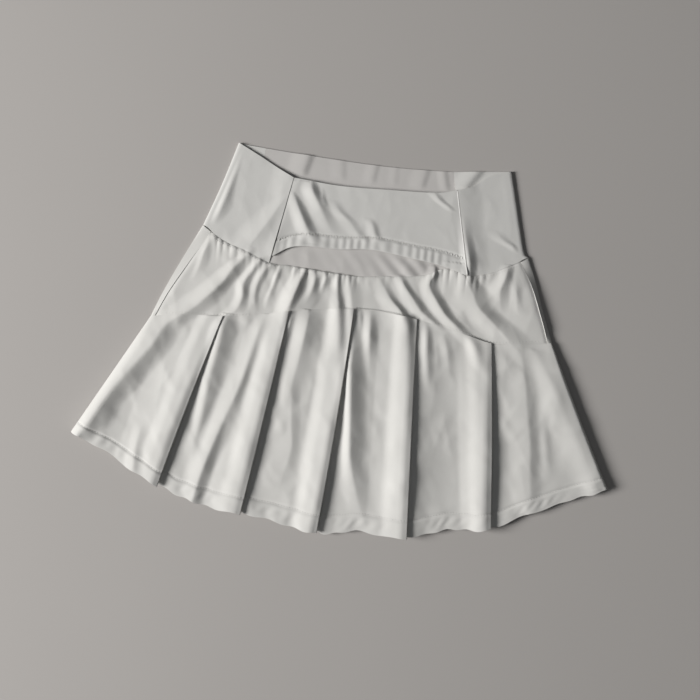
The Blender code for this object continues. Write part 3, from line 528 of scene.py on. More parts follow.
def pleated(line_rows, pleats, v, columns):
    """Stations, heights and shares down of a pleated wall, one row for each v.

    Each panel runs right, rises on to its pleat, turns under at the pleat's edge, runs back left by the
    pleat's depth and turns down into the next panel, which starts at height 0.
    """
    v = v[:, None]
    small = 0.01
    last_station = STATIONS[-1]

    def millimetres(station):
        ends = [flounce_place(line_rows, np.full_like(v, station + s), v) for s in (-small, small)]
        return apart(*ends) / (2 * small)

    half_turn = np.linspace(0, np.pi, TURN_STEPS + 1)
    across = np.linspace(0, 1, columns + 1)[1:]
    across = across + 0.06 * np.sin(2 * np.pi * across)  # closer columns at the pleats than half way between
    start = EDGE_DISTANCES / millimetres(small)
    stations, heights, lifts = [start], [np.zeros_like(start)], [np.zeros_like(start)]
    reached = start[:, -1:]
    for station, depth, rise, crest_heights, faces in pleats:
        scale = millimetres(station)
        crest_height = np.maximum(parabola(crest_heights, v), 4 * TURN)
        face = np.maximum(parabola(faces, v), TURN)
        bend = station - TURN / scale
        inner = station - (depth - TURN) / scale

        panel = reached + (bend - reached) * across
        on_return = smooth((panel - inner) * scale / STEP_IN + 1 + TURN / STEP_IN)
        before_crest = (station - panel) * scale - face
        up = 4 * TURN * on_return
        up = up + (crest_height - 4 * TURN) * np.clip(1 - ramp(before_crest) / rise, 0, 1) ** RISE_POWER
        up = np.maximum(up - FACE_SLOPE * ramp(-before_crest) * on_return, 4 * TURN * on_return)
        edge = up[:, -1:]
        turn_out = bend + TURN * np.sin(half_turn[1:]) / scale
        turn_out_up = edge - TURN + TURN * np.cos(half_turn[1:])
        back = bend + (inner - bend) * np.linspace(0, 1, 6)[1:]
        back_up = 2 * TURN + (edge - 4 * TURN) * smooth((back - inner) / (bend - inner))
        turn_in = inner - TURN * np.sin(half_turn[1:]) / scale
        turn_in_up = TURN + TURN * np.cos(half_turn[1:]) + np.zeros_like(scale)

        stations += [panel, turn_out, back, turn_in]
        heights += [up, turn_out_up, back_up, turn_in_up]
        out_from_under = smooth(1 - (panel - reached) * scale / FLAT_AFTER) * (station > 1)
        under = smooth((bend - back) / (bend - inner))
        lifts += [out_from_under, np.zeros_like(turn_out), under, np.ones_like(turn_in)]
        reached = inner
    side = last_station - (EDGE_DISTANCES / millimetres(last_station - small))[:, ::-1]
    panel = reached + (side[:, :1] - reached) * across[:-1]
    last = np.concatenate([panel, side], axis=1)
    stations.append(last)
    heights.append(np.zeros_like(last))
    lifts.append(smooth(1 - (last - reached) * millimetres(last_station - 0.5) / FLAT_AFTER))
    lift = np.concatenate(lifts, axis=1)
    return np.concatenate(stations, axis=1), np.concatenate(heights, axis=1), v * (1 - UNDER_LIFT * lift)


def front_flounce():
    """The front flounce: pleats on the base height, bent down at both sides, with the soft folds added."""
    lines = (FLOUNCE_SEAM, FLOUNCE_MIDDLE, FRONT_HEM)
    rows = np.concatenate([
        np.linspace(0, 0.04, 5)[:-1], np.linspace(0.04, 1 - HEM_SHARE - 0.01, FLOUNCE_ROWS - HEM_ROWS - 3),
        np.linspace(1 - HEM_SHARE - 0.01, 1, HEM_ROWS)[1:],
    ])
    station, height, v = pleated(lines, FRONT_PLEATS, rows, 44)
    place = flounce_place(lines, station, v)
    left, right = place[:, :1], place[:, -1:]
    from_right = apart(place, right)
    from_side = np.minimum(apart(place, left), from_right)
    side_roll = np.where(station < STATIONS[-1] / 2, *SIDE_ROLLS) * (0.5 + 0.5 * smooth(rows[:, None] * 4))
    roll = 1 - np.sqrt(1 - np.clip(1 - from_side / side_roll, 0, 1) ** 2)
    base = FLOUNCE_Z + (seam_base(station / STATIONS[-1]) - FLOUNCE_Z) * (1 - smooth(v * 6))
    base = base + SIDE_SWELL * smooth(v * 5) * smooth(1 - from_right / SIDE_SWELL_REACH)
    z = base - (base - FLOUNCE_EDGE_Z) * roll + height
    z += folds(place[..., 0], place[..., 1]) * (1 - roll)
    hem = rows[:, None] - (1 - HEM_SHARE)
    z += HEM_EXTRA * smooth(hem / 0.01 + 0.5) - HEM_GROOVE * bump(hem, 0.008)
    # The hem's puckers: one slanted wave that comes and goes along x
    x = place[..., 0]
    puckers = np.sin(x / 1.9 + 5.5 * hem / HEM_SHARE + 1.5 * np.sin(x / 17.0)) * np.sin(x / 29.0) ** 2
    z += HEM_PUCKER * puckers * bump(hem - HEM_SHARE / 2, HEM_SHARE / 2)
    # The hem's edge waves: two waves across, one much shorter, that grow over the last part of the length
    at_hem = smooth((rows[:, None] - HEM_WAVES_FROM) / (1 - HEM_WAVES_FROM))
    wave = np.sin(x / 4.3 + 1.7 * np.sin(x / 23.0)) + 0.8 * np.sin(x / 11.0 + 2.0 * np.sin(x / 41.0))
    z += HEM_WAVE_HEIGHT * at_hem * (1 - roll) * (wave + 1.8)
    place = place - HEM_WAVE_DROP * (at_hem * (wave - 0.6) * (1 - roll))[..., None] * (0, 1)
    return np.dstack([place, z])


def back_flounce():
    """The back flounce: pressed pleats that lie the other way, flat on the floor, with a plain curved hem."""
    share = (STATIONS / STATIONS[-1])[:, None]
    arch = 4 * share * (1 - share) * np.array((0.0, 1.0))
    ends = [(line[-1], line[0]) for line in (FLOUNCE_SEAM, FLOUNCE_MIDDLE, FRONT_HEM)]
    seam, middle, hem = (np.array(a) + (np.array(b) - np.array(a)) * share for a, b in ends)
    seam = seam + BACK_SEAM_BULGE * arch
    hem = hem - BACK_HEM_SAG * arch
    middle = middle - (BACK_HEM_SAG - BACK_SEAM_BULGE) / 2 * arch
    inset = BACK_INSET * np.sign(share - 0.5) * (np.abs(share - 0.5) == 0.5) * np.array((1.0, 0.0))
    lines = (seam + inset, middle + inset, hem + inset)
    station, height, v = pleated(lines, BACK_PLEATS, np.linspace(0, 1, 49), 22)
    place = flounce_place(lines, station, v)
    return np.dstack([place, SKIRT_BACK_Z + height])


def seam_base(u):
    """Height of the flounce seam's middle at a share u across: level, but for its two ends."""
    left, right = FLOUNCE_SEAM_ENDS
    return FLOUNCE_Z + left * (1 - smooth(u * 7)) + right * smooth(u * 7 - 6)


def yoke_base(v, u):
    """Height of the yoke's middle at shares v down and u across: from the waist seam's to the flounce seam's,
    lower at the top of the left strip and higher along the right one."""
    at_right = smooth(u * 6 - 5)
    left_top, right_top = YOKE_SIDE_Z
    top = YOKE_TOP_Z + (left_top - YOKE_TOP_Z) * (1 - smooth(u * 5))
    top = top + (right_top - YOKE_TOP_Z) * smooth(u * 4 - 3)
    lift = YOKE_RIGHT_LIFT * at_right * smooth(v * 4) * (1 - smooth(v * 4 - 3))
    return top + (seam_base(u) - top) * smooth(v) + lift


def front_yoke():
    """The front yoke, from the waist seam to the flounce seam and between the two side strips."""
    u = np.linspace(0, 1, 300)
    v = np.linspace(0, 1, YOKE_ROWS + 1)
    top = along(WAIST_SEAM, u) - (0, SEAM_GAP)
    seam = through(STATIONS, FLOUNCE_SEAM, 0.1 + (STATIONS[-1] - 0.2) * u) + (0, SEAM_GAP)
    shares = v[:, None, None]
    place = (1 - shares) * top + shares * seam
    # The side edges follow the strips' edges, and the shift that this takes fades towards the middle
    left = along(LEFT_STRIP, v) + (SEAM_GAP, 0) - place[:, 0]
    right = along(RIGHT_STRIP, v) - (SEAM_GAP, 0) - place[:, -1]
    place += left[:, None] * (1 - smooth(u * 6))[:, None]
    place += right[:, None] * (1 - smooth((1 - u) * 6))[:, None]
    below = apart(place, place[:1])
    from_strips = [apart(place, side) for side in (place[:, :1], place[:, -1:])]
    z = yoke_base(v[:, None], u)
    z = z + folds(place[..., 0], place[..., 1]) * smooth(np.minimum(*from_strips) / SIDE_FADE)
    z += gathers(place[..., 0], below)
    z += YOKE_PUFF * (1 - np.exp(-below / YOKE_PUFF_REACH)) * (1 - smooth(v * 2))[:, None]
    for away in from_strips:
        z -= STRIP_GROOVE * np.exp(-((away / STRIP_GROOVE_REACH) ** 2))
    return np.dstack([place, z])


def arched(left, right, x, rise):
    """Height in y, at each x, of a parabola from the left point to the right one, rising so far between."""
    share = (x - left[..., 0]) / (right[..., 0] - left[..., 0])
    return left[..., 1] + (right[..., 1] - left[..., 1]) * share + 4 * share * (1 - share) * rise


def back_waist_seam(x):
    """The back's waist seam at each x, as points."""
    x = np.asarray(x, float)
    y = arched(np.array(LEFT_YOKE[0]), np.array(RIGHT_YOKE[0]), x, -BACK_WAIST_SAG)
    return np.stack([x, y], axis=-1)


def rolled_side(outline, inner, low, high, roll, straight=0.0):
    """A side's roll, from under it to over it: a small quarter turn off the floor, then a quarter of an
    ellipse that reaches inwards by roll, or by the whole way to the inner points where they are nearer. The
    share straight makes the second part a straight slope instead."""
    outward = outline - inner
    width = np.linalg.norm(outward, axis=1)
    outward = outward / width[:, None]
    roll = np.minimum(roll, width)
    small = 0.4 * (high - low)
    quarter = np.linspace(0, np.pi / 2, TURN_STEPS + 1)
    reach = np.concatenate([
        small[:, None] * (np.sin(quarter) - 1), roll[:, None] * (np.cos(quarter[1:]) - 1),
    ], axis=1)
    straight = np.broadcast_to(straight, small.shape)[:, None]
    rise = straight * (1 - np.cos(quarter[1:])) + (1 - straight) * np.sin(quarter[1:])
    up = np.concatenate([
        small[:, None] * (1 - np.cos(quarter)),
        small[:, None] + (high - low - small)[:, None] * rise,
    ], axis=1)
    place = outline[:, None] + outward[:, None] * reach[..., None]
    return np.dstack([place, low[:, None] + up])


def back_yoke():
    """The back yoke: flat on the floor, rolled forward at both sides into a strip that narrows downwards."""
    v = np.linspace(0, 1, 49)
    low = np.full_like(v, SKIRT_BACK_Z)
    straight = smooth(v * 6) * (1 - smooth(v * 8 - 7))
    turns = []
    for outline, strip, u in ((LEFT_YOKE, LEFT_STRIP, 0.0), (RIGHT_YOKE, RIGHT_STRIP, 1.0)):
        outer, inner = along(outline, v), along(strip, v)
        turns.append(rolled_side(outer, inner, low, yoke_base(v, u), STRIP_ROLL, straight))
    left_turn, right_turn = turns
    share = np.linspace(0, 1, 90)[1:-1]
    x = left_turn[:, :1, 0] + (right_turn[:, :1, 0] - left_turn[:, :1, 0]) * share
    rise = (-BACK_WAIST_SAG * (1 - v) + BACK_SEAM_BULGE * v)[:, None]
    y = arched(along(LEFT_YOKE, v)[:, None], along(RIGHT_YOKE, v)[:, None], x, rise)
    y += SEAM_GAP * (2 * v[:, None] - 1)
    flat = np.dstack([x, y, np.full_like(x, SKIRT_BACK_Z)])
    return np.concatenate([left_turn[:, ::-1], flat, right_turn], axis=1)


def waist_side(is_left):
    """A waist side panel: flat at the back, round the side fold, and over the front to the flap's seam. Its
    edges run inwards from the side."""
    last = len(WAIST_SEAM) - 1
    if is_left:
        outline, front_top, starts, ends = LEFT_WAIST, NEAR_TOP_LEFT, 0, UNDER_STARTS
        far_top, far_foot, gap = FAR_TOP[0], BACK_PANEL_FOOT[0], (-SEAM_GAP, 0)
    else:
        outline, front_top, starts, ends = RIGHT_WAIST, NEAR_TOP_RIGHT[::-1], last, UNDER_ENDS
        far_top, far_foot, gap = FAR_TOP[-1], BACK_PANEL_FOOT[1], (SEAM_GAP, 0)
    front_seam = along(WAIST_SEAM, np.linspace(starts, ends, 8) / last) + (0, SEAM_GAP)
    front_seam = np.concatenate([[outline[-1]], front_seam])
    front_edge = np.array((front_top[-1], WAIST_SEAM[ends])) + gap
    back_edge = np.array((far_top, back_waist_seam(far_foot) + (0, SEAM_GAP))) + gap

    v = np.linspace(0, 1, WAIST_ROWS + 1)
    outer = along(outline, v)
    inner = front_edge[0] + (front_edge[1] - front_edge[0]) * v[:, None]
    back = back_edge[0] + (back_edge[1] - back_edge[0]) * v[:, None]
    low = np.full_like(v, WAIST_BACK_Z)
    turn = rolled_side(outer, inner, low, np.full_like(v, SIDE_FRONT_Z), WAIST_ROLL)
    share = np.linspace(0, 1, 61)[1:][None, :, None]
    front = turn[:, -1:, :2] + (inner[:, None] - turn[:, -1:, :2]) * share
    # Bow the rows so that the first and the last follow the panel's own top and bottom edges
    places = share[0, :, 0]
    for edge, row, weight in ((front_top, 0, 1 - v), (front_seam, -1, v)):
        edge = np.array(edge)
        edge = edge[np.argsort(edge[:, 0])]
        wanted = np.interp(front[row, :, 0], edge[:, 0], edge[:, 1])
        front[..., 1] += (wanted - front[row, :, 1]) * smooth(places * 9) * weight[:, None]
    from_seam = apart(front, front[:, -1:])
    from_turn = apart(front, turn[:, -1:, :2])
    z = SIDE_FRONT_Z + folds(front[..., 0], front[..., 1]) * smooth(from_turn / SIDE_FADE)
    z += SIDE_SEAM_RISE * smooth(1 - from_seam / SIDE_SEAM_REACH) * (1 - smooth((v[:, None] - 0.8) / 0.2))
    flat_share = np.linspace(0, 1, 25)[:-1][None, :, None]
    flat = back[:, None] + (turn[:, :1, :2] - back[:, None]) * flat_share
    back_part = np.dstack([flat, WAIST_BACK_Z + band_end(flat[..., 0], flat[..., 1])])
    grid = np.concatenate([back_part, turn, np.dstack([front, z])], axis=1)
    return grid if is_left else grid[:, ::-1]


def band_end(x, y):
    """Height of the fold at the far band's right end: a slanted crest, wider to its left."""
    off_crest = x - BAND_END_CREST[0] - (y - BAND_END_CREST[1]) * BAND_END_CREST[2]
    reach = np.where(off_crest < 0, *BAND_END_REACH)
    start, fade = BAND_END_SHOWS
    return BAND_END_HEIGHT * smooth(1 - np.abs(off_crest) / reach) * smooth((y - start) / fade)


def waist_flap():
    """The flap, over the front's middle, sewn in at its top and sides and loose at its rippled lower edge."""
    u = np.linspace(0, 1, 150)
    place = ruled(along(FLAP_TOP, u), along(FLAP_EDGE, u))
    v = np.linspace(0, 1, WAIST_ROWS + 1)[:, None]
    x, y = np.moveaxis(place, -1, 0)
    loose = smooth((v - FLAP_STITCH_SHARE) / 0.06) * smooth((1 - v) / 0.05 + 0.35)
    middle = smooth(u * 8) * smooth((1 - u) * 4)
    ripple = 0.5 + 0.5 * np.cos(2 * np.pi * (x / RIPPLE_PITCH + 0.35 * np.sin(x / 13.0)))
    edge_lift = FLAP_EDGE_LIFT * smooth((v - 0.85) / 0.15) * bump(x - FLAP_LIFT_X, FLAP_LIFT_REACH)
    groove = FLAP_GROOVE * bump(v - FLAP_STITCH_SHARE, 0.04)
    z = FLAP_Z + folds(x, y) + RIPPLE_HEIGHT * ripple * loose * middle + edge_lift - groove
    return np.dstack([place, z])


def waist_under():
    """The front's middle panel, under the flap, down to the gathered waist seam."""
    u = np.linspace(0, 1, 150)
    index = UNDER_STARTS + (UNDER_ENDS - UNDER_STARTS) * u
    top = along(FLAP_TOP, u) - (0, 1.0)
    bottom = along(WAIST_SEAM, index / (len(WAIST_SEAM) - 1)) + (0, SEAM_GAP)
    place = ruled(top, bottom)
    x, y = np.moveaxis(place, -1, 0)
    seen = smooth((UNDER_FLAT_ABOVE - y) / UNDER_FLAT_FADE)
    return np.dstack([place, UNDER_Z + (folds(x, y) + drags(x, y)) * seen])


def waist_back():
    """The back's middle panel, flat on the floor but for the soft creases where it shows over the front."""
    u = np.linspace(0, 1, 140)
    foot = back_waist_seam(BACK_PANEL_FOOT[0] + (BACK_PANEL_FOOT[1] - BACK_PANEL_FOOT[0]) * u)
    place = ruled(along(FAR_TOP, u), foot + (0, SEAM_GAP), 48)
    x, y = np.moveaxis(place, -1, 0)
    shows = smooth((y - BAND_SHOWS[0]) / BAND_SHOWS[1])
    z = np.full_like(x, WAIST_BACK_Z)
    for at, height, left, right, slant in BAND_CREASES:
        away = x - at - slant * (y - BAND_CREASE_Y)
        z += shows * height * smooth(1 - np.abs(away) / np.where(away < 0, left, right))
    return np.dstack([place, z])


def placed(points):
    """Draft points in millimetres as frame points in metres."""
    return (points - (*CENTRE, 0.0)) * MM


def flat_uv(grid):
    """How far each point is across and down its cloth, in metres: lengths added up along the grid's lines."""
    across = apart(grid[:, 1:], grid[:, :-1])
    down = apart(grid[1:], grid[:-1])
    u = np.concatenate([np.zeros((grid.shape[0], 1)), np.cumsum(across, axis=1)], axis=1)
    v = np.concatenate([np.zeros((1, grid.shape[1])), np.cumsum(down, axis=0)], axis=0)
    return np.dstack([u, v]) * MM


def quads_of(rows, columns):
    """Corner numbers of a grid's cells, each turned so that it faces up."""
    corner = np.arange(rows * columns).reshape(rows, columns)
    cells = (corner[:-1, :-1], corner[1:, :-1], corner[1:, 1:], corner[:-1, 1:])
    return np.stack([c.ravel() for c in cells], axis=1)


def in_scene(name, data):
    """A new object of this data, at the origin."""
    made = bpy.data.objects.new(name, data)
    bpy.context.scene.collection.objects.link(made)
    return made


def new_piece(name, points, faces, material, slot, uv=None):
    """An object from draft points and faces, riding on the root body."""
    mesh = bpy.data.meshes.new(name)
    mesh.from_pydata(placed(points).tolist(), [], faces if isinstance(faces, list) else faces.tolist())
    if uv is not None:
        layer = mesh.uv_layers.new(name="cloth")
        corners = np.empty(len(mesh.loops), np.int32)
        mesh.loops.foreach_get("vertex_index", corners)
        layer.data.foreach_set("uv", uv[corners].ravel())
    mesh.shade_smooth()
    mesh.materials.append(material)
    piece = in_scene(name, mesh)
    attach(piece, "root")
    return piece


def cloth(name, node, grid, thickness, material, slot):
    """One cut piece in place of its CAD node: its grid, its wall thickness and slightly rounded cut edges."""
    rows, columns = grid.shape[:2]
    uv = flat_uv(grid).reshape(-1, 2)
    piece = new_piece(name, grid.reshape(-1, 3), quads_of(rows, columns), material, slot, uv)
    wall = piece.modifiers.new("wall", "SOLIDIFY")
    wall.thickness = thickness * MM
    wall.offset = 0.0
    wall.use_even_offset = True
    edges = piece.modifiers.new("rounded edges", "BEVEL")
    edges.limit_method = "ANGLE"
    edges.angle_limit = np.radians(60)
    edges.width = EDGE_ROUND * MM
    edges.segments = 2
    edges.harden_normals = True
    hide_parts(node)
    return piece


def normals_of(grid):
    """The grid's upward unit normals: the cross product of its directions across and up."""
    normal = np.cross(np.gradient(grid, axis=1), -np.gradient(grid, axis=0))
    return normal / np.maximum(np.linalg.norm(normal, axis=-1, keepdims=True), 1e-9)


def on_grid(grid, row_share, column_share):
    """Points and normals at shares down and across a grid, read between its points in straight lines."""
    rows, columns = grid.shape[:2]
    r = np.clip(np.asarray(row_share, float) * (rows - 1), 0, rows - 1.001)
    c = np.clip(np.asarray(column_share, float) * (columns - 1), 0, columns - 1.001)
    r0, c0 = r.astype(int), c.astype(int)
    fr, fc = (r - r0)[..., None], (c - c0)[..., None]

    def read(field):
        upper = field[r0, c0] * (1 - fc) + field[r0, c0 + 1] * fc
        lower = field[r0 + 1, c0] * (1 - fc) + field[r0 + 1, c0 + 1] * fc
        return upper * (1 - fr) + lower * fr

    return read(grid), read(normals_of(grid))


def evenly(points, normals, pitch):
    """The path's points and normals, read again at even steps of about that pitch along it."""
    length = np.concatenate([[0], np.cumsum(apart(points[1:], points[:-1]))])
    at = np.linspace(0, length[-1], max(2, int(round(length[-1] / pitch)) + 1))
    both = np.concatenate([points, normals], axis=1).T
    return np.split(np.stack([np.interp(at, length, column) for column in both], axis=1), 2, axis=1)


def across_path(forward, normals):
    """Unit directions across a path: one along the cloth and one out of it."""
    forward = forward / np.maximum(np.linalg.norm(forward, axis=1, keepdims=True), 1e-9)
    side = np.cross(forward, normals)
    side /= np.maximum(np.linalg.norm(side, axis=1, keepdims=True), 1e-9)
    return side, np.cross(side, forward)


def circle(side, up, sides):
    """A unit circle's points for each pair of directions across a path."""
    angle = np.linspace(0, 2 * np.pi, sides + 1)[:-1, None]
    return side[:, None] * np.cos(angle) + up[:, None] * np.sin(angle)


def tube_faces(rings, sides):
    """Faces of a closed tube of rings: its quads, its first end and its last one, facing outwards."""
    corner = np.arange(rings * sides).reshape(rings, sides)
    turned = np.roll(corner, -1, axis=1)
    quads = np.stack([c.ravel() for c in (corner[1:], turned[1:], turned[:-1], corner[:-1])], axis=1)
    return quads, corner[:1], corner[-1:, ::-1]


def stitches(starts, ends, normals, radius):
    """Points and faces of many short threads: six-sided, thin at both ends, and arched over the cloth."""
    t = np.array((0.0, 0.2, 0.5, 0.8, 1.0))[:, None]
    thick = radius * np.array((0.35, 0.9, 1.0, 0.9, 0.35))
    side, up = across_path(ends - starts, normals)
    middle = starts[:, None] + (ends - starts)[:, None] * t + up[:, None] * THREAD_ARCH * np.sin(np.pi * t)
    points = middle[:, :, None] + circle(side, up, 6)[:, None] * thick[None, :, None, None]
    count, rings, sides = points.shape[:3]
    offsets = (np.arange(count) * rings * sides)[:, None, None]
    faces = []
    for some in tube_faces(rings, sides):
        faces += (some[None] + offsets).reshape(-1, some.shape[1]).tolist()
    return points.reshape(-1, 3), faces


def joined(parts):
    """Points and faces of several shapes as one."""
    points, faces, offset = [], [], 0
    for some_points, some_faces in parts:
        points.append(some_points)
        faces += [[corner + offset for corner in face] for face in some_faces]
        offset += len(some_points)
    return np.concatenate(points), faces


def running(points, normals, stitch, lift):
    """A running stitch along a path: threads of one pitch less the gap, lifted on to the cloth."""
    pitch, gap, radius = stitch
    points, normals = evenly(points, normals, pitch)
    points = points + normals * lift
    step = points[1:] - points[:-1]
    return stitches(points[:-1] + step * gap, points[1:] - step * gap, normals[:-1], radius)


def zigzag(points, normals, stitch, lift):
    """A zigzag stitch along a path: threads that cross from one side of it to the other."""
    pitch, width, radius = stitch
    points, normals = evenly(points, normals, pitch)
    side, _ = across_path(np.gradient(points, axis=0), normals)
    swing = np.where(np.arange(len(points)) % 2, -0.5, 0.5)[:, None] * width
    points = points + side * swing + normals * lift
    return stitches(points[:-1], points[1:], normals[:-1], radius)


def tube(points, normals, radius):
    """Points and faces of a round, ten-sided rib along a path, closed and narrowed at both ends."""
    side, up = across_path(np.gradient(points, axis=0), normals)
    ends = np.ones(len(points))
    ends[[0, -1]] = 0.4
    surface = points[:, None] + circle(side, up, 10) * radius * ends[:, None, None]
    faces = []
    for some in tube_faces(*surface.shape[:2]):
        faces += some.tolist()
    return surface.reshape(-1, 3), faces


def nodes_for(name, sockets):
    """A new material with its nodes, links and Principled shader, which gets these constant values."""
    material = bpy.data.materials.new(name)
    material.use_nodes = True
    tree = material.node_tree
    shader = tree.nodes["Principled BSDF"]
    for socket, value in sockets.items():
        shader.inputs[socket].default_value = value
    return material, tree.nodes, tree.links, shader


def new_node(nodes, kind, sockets):
    """A new shader node with these constant values."""
    node = nodes.new("ShaderNode" + kind)
    for socket, value in sockets.items():
        node.inputs[socket].default_value = value
    return node


def noise(nodes, links, sockets):
    """Noise on the object's own coordinates."""
    cloud = new_node(nodes, "TexNoise", sockets)
    links.new(nodes.new("ShaderNodeTexCoord").outputs["Object"], cloud.inputs["Vector"])
    return cloud.outputs["Fac"]


def two_tone(nodes, links, factor, low, high, span=(0.0, 1.0)):
    """A colour that runs from low to high while the factor runs over the span."""
    tones = nodes.new("ShaderNodeValToRGB")
    for element, position, colour in zip(tones.color_ramp.elements, span, (low, high)):
        element.position = position
        element.color = (*colour, 1.0)
    links.new(factor, tones.inputs["Fac"])
    return tones.outputs["Color"]


def knit(name, light, dark, course, roughness, bump_height):
    """Knitted cloth: rows of loops, two crossed waves on the cloth's own UV map, and soft uneven colour."""
    material, nodes, links, shader = nodes_for(name, {
        "Roughness": roughness, "Sheen Weight": 0.08, "Sheen Roughness": 0.5, "Specular IOR Level": 0.25,
    })
    cloud = noise(nodes, links, {"Scale": 38.0, "Detail": 5.0, "Roughness": 0.6})
    links.new(two_tone(nodes, links, cloud, dark, light, (0.3, 0.7)), shader.inputs["Base Color"])

    uv = nodes.new("ShaderNodeUVMap")
    uv.uv_map = "cloth"
    loops = nodes.new("ShaderNodeMath")
    loops.operation = "MULTIPLY"
    for socket, direction, pitch in zip(loops.inputs, "XY", (course, 0.8 * course)):
        wave = new_node(nodes, "TexWave", {"Scale": 0.314 / (pitch * MM), "Distortion": 0.6, "Detail": 1.0})
        wave.bands_direction = direction
        links.new(uv.outputs["UV"], wave.inputs["Vector"])
        links.new(wave.outputs["Fac"], socket)
    both = nodes.new("ShaderNodeMath")
    both.operation = "ADD"
    links.new(loops.outputs["Value"], both.inputs[0])
    links.new(noise(nodes, links, {"Scale": 900.0, "Detail": 3.0}), both.inputs[1])
    relief = new_node(nodes, "Bump", {"Strength": 0.35, "Distance": bump_height * MM})
    links.new(both.outputs["Value"], relief.inputs["Height"])
    links.new(relief.outputs["Normal"], shader.inputs["Normal"])
    return material


def thread(name, colour):
    """Sewing thread: a fine uneven shine, slightly brighter than the cloth."""
    material, nodes, links, shader = nodes_for(name, {"Roughness": 0.6, "Sheen Weight": 0.1})
    dark = [0.86 * part for part in colour]
    tones = two_tone(nodes, links, noise(nodes, links, {"Scale": 700.0}), dark, colour)
    links.new(tones, shader.inputs["Base Color"])
    return material


def paper_floor():
    """The floor: pale warm grey, matt, with very faint unevenness."""
    material, nodes, links, shader = nodes_for("floor paper", {"Roughness": 0.9, "Specular IOR Level": 0.1})
    low, high = (0.412, 0.393, 0.378), (0.430, 0.410, 0.394)
    tones = two_tone(nodes, links, noise(nodes, links, {"Scale": 3.0}), low, high)
    links.new(tones, shader.inputs["Base Color"])
    mesh = bpy.data.meshes.new("floor")
    corners = [(x * FLOOR_HALF, y * FLOOR_HALF, FLOOR_Z) for x, y in ((-1, -1), (1, -1), (1, 1), (-1, 1))]
    mesh.from_pydata(corners, [], [(0, 1, 2, 3)])
    mesh.materials.append(material)
    floor = in_scene("floor", mesh)


def area_light(name, shape, size, power, colour):
    """A soft light from a disk or a square of that size."""
    lamp = bpy.data.lights.new(name, "AREA")
    lamp.shape = shape
    lamp.size = size
    lamp.energy = power
    lamp.color = colour
    return in_scene(name, lamp)


def studio():
    """Soft light from the left, a weak even fill, and the camera straight above."""
    scene = bpy.context.scene
    scene.view_settings.view_transform = "Standard"
    scene.view_settings.look = "None"
    world = bpy.data.worlds.new("studio fill")
    world.use_nodes = True
    fill = world.node_tree.nodes["Background"]
    fill.inputs["Color"].default_value = (0.95, 0.98, 1.0, 1.0)
    fill.inputs["Strength"].default_value = FILL_STRENGTH
    scene.world = world

    azimuth, elevation = np.radians(KEY_AZIMUTH), np.radians(KEY_ELEVATION)
    across, up = np.cos(elevation), np.sin(elevation)
    key = area_light("key", "DISK", KEY_SIZE, KEY_POWER, (1.0, 0.99, 0.975))
    key.location = np.array((across * np.cos(azimuth), across * np.sin(azimuth), up)) * KEY_DISTANCE
    key.rotation_euler = (0.0, np.pi / 2 - elevation, azimuth)
    overhead = area_light("overhead", "SQUARE", TOP_SIZE, TOP_POWER, (0.94, 0.97, 1.0))
    overhead.location = (0.0, 0.0, TOP_HEIGHT)

    lens = bpy.data.cameras.new("camera")
    lens.sensor_width = SENSOR
    lens.lens = SENSOR * CAMERA_HEIGHT / VIEW_WIDTH
    lens.clip_end = 50.0
    camera = in_scene("camera", lens)
    camera.location = (*CAMERA_OVER, CAMERA_HEIGHT)
    camera.rotation_euler = (0.0, 0.0, np.radians(CAMERA_TURN))
    scene.camera = camera


SMOOTH_WHITE = knit("waistband knit", (0.605, 0.598, 0.578), (0.580, 0.573, 0.553), 0.5, 0.8, 0.05)
SKIRT_WHITE = knit("skirt knit", (0.620, 0.611, 0.588), (0.595, 0.586, 0.563), 0.6, 0.78, 0.06)
# A darker, slightly warmer copy of the waistband knit: its darkness is painted shade for the back and middle
# panels, which lie under the flap and inside the band.
SHADED_WAIST_WHITE = knit("waistband knit with painted shade", (0.535, 0.518, 0.502), (0.510, 0.493, 0.477), 0.5, 0.8, 0.05)
THREAD_WHITE = thread("thread", (0.68, 0.67, 0.65))


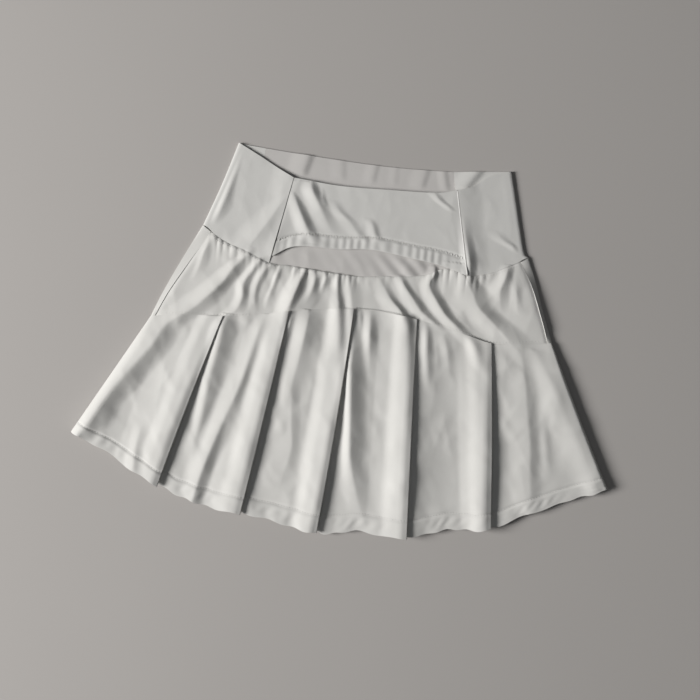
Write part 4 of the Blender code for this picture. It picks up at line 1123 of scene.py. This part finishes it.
def main():
    """Makes every piece, the floor, the light and the camera."""
    flap_grid, yoke_grid, flounce_grid = waist_flap(), front_yoke(), front_flounce()
    waist, skirt = (WAIST_CLOTH, "waist_cloth"), (SKIRT_CLOTH, "skirt_cloth")
    for name, node, grid, (thickness, slot), material in (
        ("side_panel_left", "waist_side_left", waist_side(True), waist, SMOOTH_WHITE),
        ("side_panel_right", "waist_side_right", waist_side(False), waist, SMOOTH_WHITE),
        # The back and middle panels take the darker copy of the waistband knit, whose darkness is painted
        # shade.
        ("back_panel", "waist_back", waist_back(), waist, SHADED_WAIST_WHITE),
        ("middle_panel", "waist_under", waist_under(), waist, SHADED_WAIST_WHITE),
        ("flap", "waist_flap", flap_grid, waist, SMOOTH_WHITE),
        ("back_yoke", "yoke_back", back_yoke(), skirt, SKIRT_WHITE),
        ("front_yoke", "yoke_front", yoke_grid, skirt, SKIRT_WHITE),
        ("back_flounce", "skirt_back", back_flounce(), skirt, SKIRT_WHITE),
        ("front_flounce", "skirt_front", flounce_grid, skirt, SKIRT_WHITE),
    ):
        cloth(name, node, grid, thickness, material, slot)

    on_waist = WAIST_CLOTH / 2 + THREAD_CLEAR
    on_skirt = SKIRT_CLOTH / 2 + THREAD_CLEAR

    def sewn(name, shape, slot):
        new_piece(name, *shape, THREAD_WHITE, slot)

    across = np.linspace(0.01, 0.99, 400)
    path = on_grid(flap_grid, np.full_like(across, FLAP_STITCH_SHARE), across)
    sewn("flap_stitches", zigzag(*path, FLAP_ZIGZAG, on_waist), waist[1])
    down = np.linspace(0.0, 1.0, 60)
    points, normals = evenly(*on_grid(flap_grid, down, np.full_like(down, 1.0)), 1.5)
    sewn("flap_piping", tube(points + PIPING_SHIFT, normals, PIPING_RADIUS), waist[1])

    across = np.linspace(0.0, 1.0, 1400)
    rows = flounce_grid.shape[0]
    hem_row = (rows - HEM_ROWS + 1) / (rows - 1)
    points, normals = on_grid(flounce_grid, np.full_like(across, hem_row), across)
    shows = normals[:, 2] > 0.5
    sewn("hem_stitches", running(points[shows], normals[shows], HEM_RUNNING, on_skirt), skirt[1])

    # The yoke's two seams: short threads over the flounce, with an overlocked stretch in the middle
    across = np.linspace(0.02, 0.98, 700)
    points, normals = on_grid(yoke_grid, np.full_like(across, 0.975), across)
    x = points[:, 0]
    left, right = x < PLAIN_SEAM_X[0], x > PLAIN_SEAM_X[1]
    middle = (x > OVERLOCK_X[0]) & (x < OVERLOCK_X[1])
    sewn("seam_stitches", joined([
        running(points[left], normals[left], SEAM_RUNNING, on_skirt),
        zigzag(points[middle], normals[middle], SEAM_ZIGZAG, on_skirt),
        running(points[right], normals[right], SEAM_RUNNING, on_skirt),
    ]), skirt[1])
    path = on_grid(yoke_grid, np.full_like(across, 0.03), across)
    sewn("gather_stitches", running(*path, GATHER_RUNNING, on_skirt), skirt[1])

    paper_floor()
    studio()


main()
